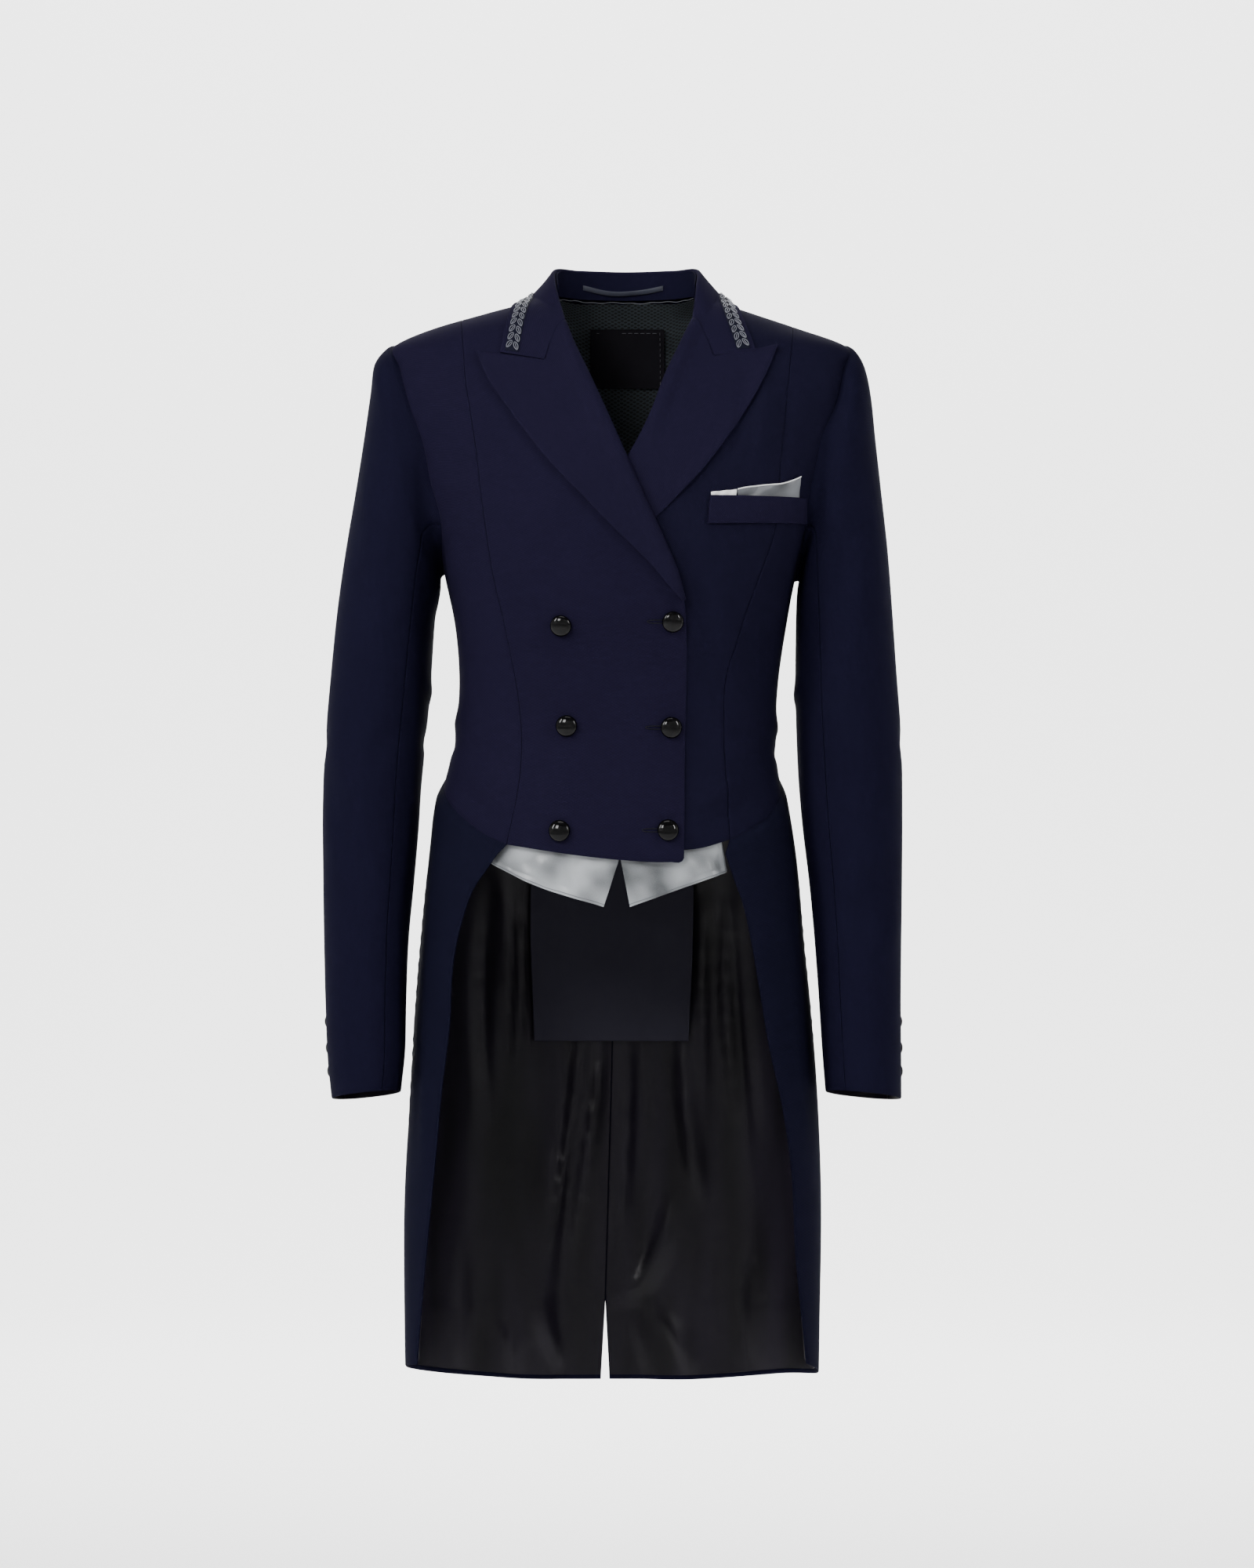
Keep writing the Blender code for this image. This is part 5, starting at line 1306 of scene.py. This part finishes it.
def thread_runs(name, runs, radius, finish):
    """Short lengths of sewing thread, each a run of points, as one piece."""
    curve = bpy.data.curves.new(name, "CURVE")
    curve.dimensions = "3D"
    curve.bevel_depth = radius
    curve.bevel_resolution = 2
    curve.use_fill_caps = True
    for run in runs:
        spline = curve.splines.new("POLY")
        spline.points.add(len(run) - 1)
        for point, place in zip(spline.points, run):
            point.co = (*place, 1)
    obj = linked(name, curve)
    bpy.ops.object.select_all(action="DESELECT")
    obj.select_set(True)
    bpy.context.view_layer.objects.active = obj
    bpy.ops.object.convert(target="MESH")
    obj = bpy.context.view_layer.objects.active
    obj.data.shade_smooth()
    obj.data.materials.clear()
    obj.data.materials.append(finish)
    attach(obj, "root")


def stitched(line, gap, length, rise, lift):
    """Stitches along a run of points: each a short arch of five points, lifted off the cloth."""
    at = lengths_along(line)
    share = np.linspace(0, 1, 5)
    arch = lift * (rise * np.sin(np.pi * share))[:, None]
    starts = np.arange(gap / 2, at[-1] - length, gap + length)
    return [read_at(start + share * length, at, line) + arch for start in starts]


def add_label_stitches(grid, finish):
    """Pale stitches along the label's top and its wearer's-left edge, a little uneven."""
    lift = np.array([0.0, -1.0, 0.1])
    face = grid + lift * 0.0002
    columns = face.shape[1]
    inset = 2  # columns and rows in from the label's edge
    top, left = face[inset], face[:, columns - 1 - inset]
    runs = stitched(top[int(0.42 * columns) : -1], *LONG_STITCHES, lift)
    runs += stitched(top[2 : int(0.2 * columns)], *SHORT_STITCHES, lift)
    runs += stitched(left[1:-1], *SIDE_STITCHES, lift)
    thread_runs("label_stitches", runs, STITCH_THREAD, finish)


def add_hanger_loop(stand, finish):
    """A short flat tape across the inside of the collar stand, sagging in its middle."""
    row = stand[len(stand) // 2]
    line = row[np.argsort(row[:, 0])]
    back = line[line[:, 1] > NECK_THREAD_FROM_Y]
    share = np.linspace(0, 1, 41)
    (start_x, start_z), (end_x, _) = LOOP_ENDS
    x = start_x + share * (end_x - start_x)
    sag = (4 * share * (1 - share)) ** 1.2 * (1 + 0.10 * np.sin(7 * share))
    y = np.interp(x, back[:, 0], back[:, 1]) - 2 * REST_GAP - LOOP_STAND_OFF * np.clip(sag, 0, 1)
    middle = np.stack([x, y, start_z - LOOP_SAG * sag], axis=-1)
    twist = LOOP_TWIST * np.sin(np.pi * share)[:, None] * (0, -1, 0) + (0, 0, 1)
    across = np.linspace(1, -1, 7)[:, None, None]
    crown = LOOP_CROWN * (1 - across**2) * np.array([0, -1, 0])
    grid = middle[None] + (unit(twist) * LOOP_HALF_WIDTH)[None] * across + crown
    if grid_normals(grid)[3, 20, 1] > 0:
        grid = grid[:, ::-1]
    cloth("hanger_loop_tape", grid, TAPE, finish, "hanger_loop", "")


def domed_button(name, radius, height, finish):
    """One turned button by hand: a disc, its top drawn up ring by ring into a dome, its foot drawn in."""
    bpy.ops.object.select_all(action="DESELECT")
    rim = 0.24 * height
    foot, half = 0.94, rim * 0.5  # the foot's share of the radius, half the rim's height
    bpy.ops.mesh.primitive_cylinder_add(
        vertices=48, radius=radius * foot, depth=half, location=(0, 0, half / 2)
    )
    obj = bpy.context.object
    obj.name = name
    bpy.ops.object.transform_apply()
    bpy.ops.object.mode_set(mode="EDIT")
    bpy.ops.mesh.select_mode(type="FACE")
    bpy.ops.mesh.select_all(action="DESELECT")
    bpy.ops.object.mode_set(mode="OBJECT")
    for face in obj.data.polygons:
        face.select = face.normal.z > 0.9
    bpy.ops.object.mode_set(mode="EDIT")
    bpy.ops.mesh.extrude_region_move(TRANSFORM_OT_translate={"value": (0, 0, half)})
    bpy.ops.transform.resize(value=(1 / foot, 1 / foot, 1))
    steps = 12
    for step in range(1, steps + 1):
        turn, last = step / steps * math.pi / 2, (step - 1) / steps * math.pi / 2
        up = (height - rim) * (math.sin(turn) - math.sin(last))
        shrink = max(math.cos(turn), 0.03) / math.cos(last)
        bpy.ops.mesh.extrude_region_move(TRANSFORM_OT_translate={"value": (0, 0, up)})
        bpy.ops.transform.resize(value=(shrink, shrink, 1))
    bpy.ops.object.mode_set(mode="OBJECT")
    obj.data.shade_smooth()
    obj.data.materials.append(finish)
    return obj


def sewn_on(master, name, point, facing, node):
    """A copy of a button with its back on a point, facing away from the cloth."""
    copy = linked(name, master.data.copy())
    facing = Vector(facing).normalized()
    turn = Vector((0, 0, 1)).rotation_difference(facing).to_matrix().to_4x4()
    place = Matrix.Translation(Vector(point) + facing * (SEAM + REST_GAP))
    copy.data.transform(place @ turn)
    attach(copy, "root")
    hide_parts(node)


def add_buttons(finish):
    front = domed_button("front_button_model", *FRONT_BUTTON, finish)
    for number, place in enumerate(FRONT_BUTTONS, 1):
        point = on_front([place])
        name = f"front_button_{number}"
        sewn_on(front, f"{name}_gloss", on_coat(point, np.zeros(1))[0], gradient(point)[0], name)
    cuff = domed_button("cuff_button_model", *CUFF_BUTTON, finish)
    for side in ("right", "left"):
        rings = creased_sleeve(side)
        outward = sleeve_normals(rings)
        column = -int(round(CUFF_BUTTON_TURN / (2 * math.pi / RING)))
        line = rings[:, column]
        for number, height in enumerate(CUFF_BUTTON_HEIGHTS, 1):
            row = int(np.argmin(np.abs(line[:, 2] - height)))
            name = f"{side}_cuff_button_{number}"
            sewn_on(cuff, f"{name}_gloss", line[row], outward[row, column], name)
    for model in (front, cuff):
        bpy.data.objects.remove(model, do_unlink=True)


def add_buttonholes(finish):
    """Three worked buttonholes in the right front, a loop of purl stitches that runs under each button."""
    half_length, half_width = 0.0105, 0.0013
    turn = np.linspace(0, 2 * np.pi, 97)
    along = np.sign(np.cos(turn)) * np.abs(np.cos(turn)) ** 0.5
    purl = 0.0002 + 0.0002 * (np.arange(len(turn)) % 2)
    for number, (x, z) in enumerate([place for place in FRONT_BUTTONS if place[0] > 0], 1):
        places = np.column_stack([x - half_length + half_length * along, z + half_width * np.sin(turn)])
        ring = on_coat(on_front(places), purl)
        thread_runs(f"buttonhole_{number}", [ring], BUTTONHOLE_THREAD, finish)


# Weaves: angle in degrees, pitch and depth. The real twill has about 30 lines to the centimetre and the
# real holes of the mesh lie 1.6 mm apart: all three are drawn coarser, so that they show
TWILL_TURN, TWILL_PITCH, TWILL_DEPTH = 58, 0.0011, 0.00018
FLOAT_TURN, FLOAT_PITCH, FLOAT_DEPTH = 84, 0.0005, 0.0001
HOLE_TURN, HOLE_PITCH, HOLE_DEPTH = 58, 0.0030, 0.0003
# The satin's shine is partly painted in: clouds of its colour run from a dark tone up to a bright, painted
# highlight tone
SHEEN_CLOUD_SCALE = 34.0  # of the satin's clouds, for each metre
DARK_UP_TO = 0.32  # the clouds' height up to which the satin keeps its dark tone


def colour(code):
    """A material colour from an sRGB hex code."""
    parts = [int(code[i : i + 2], 16) / 255 for i in (1, 3, 5)]
    return (*[p / 12.92 if p <= 0.04045 else ((p + 0.055) / 1.055) ** 2.4 for p in parts], 1.0)


def add_node(tree, kind, inputs=(), **settings):
    """One shader node. Inputs pair a socket's name or number with a value or another node's socket."""
    node = tree.nodes.new(kind)
    for name, value in settings.items():
        setattr(node, name, value)
    for socket, value in inputs:
        if isinstance(value, bpy.types.NodeSocket):
            tree.links.new(value, node.inputs[socket])
        else:
            node.inputs[socket].default_value = value
    return node


def new_material(name):
    finish = bpy.data.materials.new(name)
    finish.use_nodes = True
    tree = finish.node_tree
    tree.nodes.clear()
    shader = add_node(tree, "ShaderNodeBsdfPrincipled")
    output = add_node(tree, "ShaderNodeOutputMaterial")
    tree.links.new(shader.outputs["BSDF"], output.inputs["Surface"])
    return finish, tree, shader


def math_node(tree, operation, *values, **settings):
    """One step of arithmetic on these values."""
    return add_node(tree, "ShaderNodeMath", enumerate(values), operation=operation, **settings).outputs[0]


def noise(tree, vector, scale, detail):
    inputs = [("Vector", vector), ("Scale", scale), ("Detail", detail)]
    return add_node(tree, "ShaderNodeTexNoise", inputs).outputs["Fac"]


def tinted(tree, shader, tone, low, high):
    """Gives the shader a colour between these two, from low where the tone is 0 to high where it is 1."""
    inputs = [("Factor", tone), (6, colour(low)), (7, colour(high))]
    tint = add_node(tree, "ShaderNodeMix", inputs, data_type="RGBA")
    tree.links.new(tint.outputs[2], shader.inputs["Base Color"])


def bumped(tree, shader, height, strength, distance, **settings):
    """Gives the shader a relief from these heights."""
    inputs = [("Strength", strength), ("Distance", distance), ("Height", height)]
    bump = add_node(tree, "ShaderNodeBump", inputs, **settings)
    tree.links.new(bump.outputs[0], shader.inputs["Normal"])


def in_scene(tree):
    """Places in the scene, in metres."""
    return add_node(tree, "ShaderNodeTexCoord").outputs["Object"]


def ribs(tree, turn, pitch):
    """Waves along the cloth at this angle in degrees, one every pitch metres, from 0 to 1."""
    along = add_node(tree, "ShaderNodeUVMap", uv_map="UVMap").outputs[0]
    inputs = [("Vector", along), ("Rotation", (0, 0, math.radians(turn)))]
    turned = add_node(tree, "ShaderNodeMapping", inputs).outputs[0]
    inputs = [("Vector", turned), ("Scale", 2 * math.pi / pitch / 20), ("Distortion", 0.0)]
    return add_node(tree, "ShaderNodeTexWave", inputs, bands_direction="X").outputs["Fac"]


def wool(name, low, high):
    """A fine wool twill: close diagonal lines and a faint fibre mottle, with hardly any shine."""
    finish, tree, shader = new_material(name)
    place = in_scene(tree)
    twill = ribs(tree, TWILL_TURN, TWILL_PITCH)
    fibre = noise(tree, place, 900.0, 3.0)
    cloud = noise(tree, place, 14.0, 2.0)
    weave = math_node(tree, "MULTIPLY", twill, fibre)
    tone = math_node(tree, "MULTIPLY_ADD", cloud, 0.25, math_node(tree, "MULTIPLY", weave, 0.75))
    tinted(tree, shader, tone, low, high)
    bumped(tree, shader, weave, 0.35, TWILL_DEPTH)
    shader.inputs["Roughness"].default_value = 0.85
    shader.inputs["Specular IOR Level"].default_value = 0.02
    return finish


def satin(name, low, high, rough, anisotropy=0.5, shine=0.5, streak=1.0, highlight_from=0.68):
    """A woven satin: smooth floats with a directional shine over faint cross ribs.

    Its shine is partly painted in: its tone drifts in soft clouds between a dark tone and a bright, painted
    highlight tone, drawn out along the height as streak falls below 1.
    The clouds run from 0 to 1, and the higher the threshold for the bright tone, the less of them reaches
    that painted highlight."""
    finish, tree, shader = new_material(name)
    place = in_scene(tree)
    floats = ribs(tree, FLOAT_TURN, FLOAT_PITCH)
    # Painted sheen: clouds of lighter and darker tone that stand in for the satin's shine
    inputs = [("Vector", place), ("Scale", (1.0, 1.0, streak))]
    drawn = add_node(tree, "ShaderNodeMapping", inputs).outputs[0]
    cloud = noise(tree, drawn, SHEEN_CLOUD_SCALE, 1.0)
    inputs = [("Value", cloud), (1, DARK_UP_TO), (2, highlight_from)]
    spread = add_node(tree, "ShaderNodeMapRange", inputs, clamp=True).outputs[0]
    threads = math_node(tree, "ADD", noise(tree, place, 1500.0, 1.0), floats)
    tone = math_node(tree, "MULTIPLY_ADD", threads, 0.18, spread)
    tinted(tree, shader, tone, low, high)
    bumped(tree, shader, floats, 0.08, FLOAT_DEPTH)
    shader.inputs["Roughness"].default_value = rough
    shader.inputs["Anisotropic"].default_value = anisotropy
    shader.inputs["Specular IOR Level"].default_value = shine
    return finish


def plain(name, code, rough, grain=0.0, shine=0.5):
    """A plain finish with an optional fine grain in its surface."""
    finish, tree, shader = new_material(name)
    shader.inputs["Base Color"].default_value = colour(code)
    shader.inputs["Roughness"].default_value = rough
    shader.inputs["Specular IOR Level"].default_value = shine
    if grain:
        bumped(tree, shader, noise(tree, in_scene(tree), 700.0, 3.0), 0.3, grain)
    return finish


def knitted_mesh(name, thread, hole):
    """A warp-knitted mesh: small dark holes in staggered rows between paler threads."""
    finish, tree, shader = new_material(name)
    one_way, other_way = (ribs(tree, turn, HOLE_PITCH) for turn in (HOLE_TURN, -HOLE_TURN))
    crossing = math_node(tree, "MULTIPLY", one_way, other_way)
    open_part = math_node(tree, "SUBTRACT", crossing, 0.16)
    mask = math_node(tree, "MULTIPLY", open_part, 5.0, use_clamp=True)
    tinted(tree, shader, mask, thread, hole)
    bumped(tree, shader, mask, 0.5, HOLE_DEPTH, invert=True)
    shader.inputs["Roughness"].default_value = 0.8
    return finish


# The studio: a round paper's flat part, its bend up into the wall, and the heights of floor and wall
PAPER_RADIUS = 6.0
PAPER_BEND = 1.5
FLOOR_Z = -1.35
PAPER_TOP_Z = 4.5
COAT_MIDDLE = (0.0, 0.0, -0.42)
# Lamps. Columns: name, place, aim, size, power in watts
LIGHTS = (
    ("key_softbox", (-1.4, -2.8, 1.3), COAT_MIDDLE, (0.9, 1.1), 62),
    ("left_strip", (-2.4, -1.6, 1.3), COAT_MIDDLE, (0.4, 1.4), 50),
    ("right_strip", (2.5, -1.7, 1.0), COAT_MIDDLE, (0.30, 1.2), 34),
    ("top_softbox", (0.0, -0.6, 2.3), COAT_MIDDLE, (1.6, 1.0), 16),
    ("backdrop_light", (0.0, 4.0, 3.3), (0.0, 7.2, -0.3), (3.2, 1.2), 690),
    ("floor_light", (0.0, 3.2, 2.3), (0.0, 3.4, -1.35), (2.6, 2.2), 255),
)
AIR_STRENGTH = 0.15
# The photo's view: from how far, what height it takes in at the coat, and the point at its middle
VIEW_DISTANCE = 5.0
VIEW_HEIGHT = 1.32
VIEW_MIDDLE = (0.00792, -0.396)
SENSOR = 36


def add_light(name, place, aim, size, power):
    light = bpy.data.lights.new(name, "AREA")
    light.shape = "RECTANGLE"
    light.size, light.size_y = size
    light.energy = power
    obj = linked(name, light)
    obj.location = place
    obj.rotation_euler = (Vector(aim) - Vector(place)).to_track_quat("-Z", "Y").to_euler()


def add_paper():
    """A round sheet of pale paper: a flat floor that curves up into a wall all round."""
    bend_x, bend_z = PAPER_RADIUS, FLOOR_Z + PAPER_BEND
    profile = [(PAPER_RADIUS, FLOOR_Z)]
    for angle in np.radians(np.arange(10, 91, 10)):
        profile.append((bend_x + PAPER_BEND * math.sin(angle), bend_z - PAPER_BEND * math.cos(angle)))
    profile.append((bend_x + PAPER_BEND, PAPER_TOP_Z))
    count = 64
    turns = [2 * math.pi * k / count for k in range(count)]
    vertices = [(r * math.sin(a), r * math.cos(a), z) for r, z in profile for a in turns]
    faces = [tuple(range(count))]
    for ring in range(len(profile) - 1):
        for k in range(count):
            after = (k + 1) % count
            faces.append(tuple(ring * count + i for i in (k, k + count, after + count, after)))
    mesh = bpy.data.meshes.new("studio_paper")
    mesh.from_pydata(vertices, [], faces)
    mesh.shade_smooth()
    mesh.materials.append(plain("pale_studio_paper", "#E9E9E9", 0.9))
    linked("studio_paper", mesh)


def add_studio():
    """Pale paper, soft lights and the photo's view."""
    add_paper()
    for light in LIGHTS:
        add_light(*light)
    world = bpy.data.worlds.new("studio_air")
    bpy.context.scene.world = world
    world.use_nodes = True
    air = world.node_tree.nodes["Background"].inputs
    air["Color"].default_value = colour("#FFFFFF")
    air["Strength"].default_value = AIR_STRENGTH

    view = bpy.data.cameras.new("photo_view")
    view.sensor_width = SENSOR
    view.lens = SENSOR * VIEW_DISTANCE / VIEW_HEIGHT
    camera = linked("photo_view", view)
    camera.location = (VIEW_MIDDLE[0], -VIEW_DISTANCE, VIEW_MIDDLE[1])
    camera.rotation_euler = (math.radians(90), 0, 0)
    bpy.context.scene.camera = camera


def main():
    # Worsted wool twill, navy, matt, in five copies with light and shade painted into their tones. The
    # lapels, collar fall and welt are lightest and the right front next. Painted shade darkens the left
    # front, more the backs, sleeves and collar stand, most the tails
    twill = wool("navy_wool_twill", "#141122", "#1F1C33")
    face = wool("navy_wool_lapel", "#151223", "#201D34")
    under = wool("navy_wool_shaded_left_front", "#11101F", "#1B192F")
    arm = wool("navy_wool_shaded_sleeve", "#0F0E1E", "#19182D")
    skirt = wool("navy_wool_shaded_tail", "#0E0E1C", "#18182B")
    # Polyester lining satin, black with a faint plum tint, its shine partly painted in as pale streaks drawn
    # out down the cloth
    lining = satin("black_satin_lining", "#070609", "#15121A", 0.33, 0.5, 0.20, 0.18)
    # Plain matt facing cloth
    matte = plain("matte_black_cloth", "#2A2932", 0.92, 0.0002, 0.06)
    # Woven polyester label, black
    label = plain("black_label_tape", "#1B191F", 0.75, 0.0001, 0.12)
    # Polyester satin, silver grey, its shine partly painted in as light and dark clouds, and a darker copy
    # with shade painted in, for the pocket square in the shade of the lapel
    silver = satin("silver_satin_weave", "#2E3134", "#ADB1B5", 0.30, highlight_from=0.80)
    fold = satin("silver_satin_shaded_fold", "#26282B", "#75787D", 0.36)
    # Plain cotton, white
    white = plain("white_cotton_weave", "#F2F2F2", 0.85, 0.0001)
    # Braid: silver rayon thread on black tape
    thread = plain("silver_satin_thread", "#73757F", 0.40)
    ground = plain("black_braid_ground", "#0F1020", 0.8, 0.0001, 0.12)
    # Knitted polyester mesh, charcoal
    mesh_finish = knitted_mesh("charcoal_knitted_mesh", "#2D353B", "#040506")
    # Woven polyester tape, dull navy, with a faint sheen painted in soft clouds
    tape = satin("grey_navy_tape", "#24262F", "#363843", 0.5, 0.3, 0.15)
    # Pressed polyester button, polished black
    gloss = plain("polished_black_button", "#050506", 0.08, 0.0, 0.24)
    # Sewing thread
    loop_thread = plain("navy_buttonhole_thread", "#0A0B16", 0.6, 0.0, 0.2)
    seam_thread = plain("pale_seam_thread", "#62656C", 0.6)
    label_thread = plain("grey_label_thread", "#56585F", 0.6)

    # Shade is painted in by the copy of the wool that each piece takes: the left front and side front a
    # darker one than the right, the backs, side backs and sleeves darker again, the lapels a lighter one
    for side, front in (("right", twill), ("left", under)):
        front_panel(side, front)
        side_front(side, front)
        panel(f"{side}_back", back_points(side), untucked, arm)
        side_back(side, arm)
        lapel(side, face)
    # The tails take the darkest copy of the wool, with the most shade painted in
    add_tails(skirt, lining)
    add_sleeves(arm, lining)
    # The collar stand takes the sleeves' darker copy of the wool, with painted shade; the collar fall and
    # welt take the lapels' lighter one
    stand = add_collar(face, arm, thread, ground, seam_thread)
    add_pocket(face, white, fold)
    add_waistcoat(silver, seam_thread)
    add_inner_panel(matte)
    add_label_stitches(add_neck_lining(mesh_finish, label), label_thread)
    add_hanger_loop(stand, tape)
    add_buttons(gloss)
    add_buttonholes(loop_thread)
    add_studio()


main()
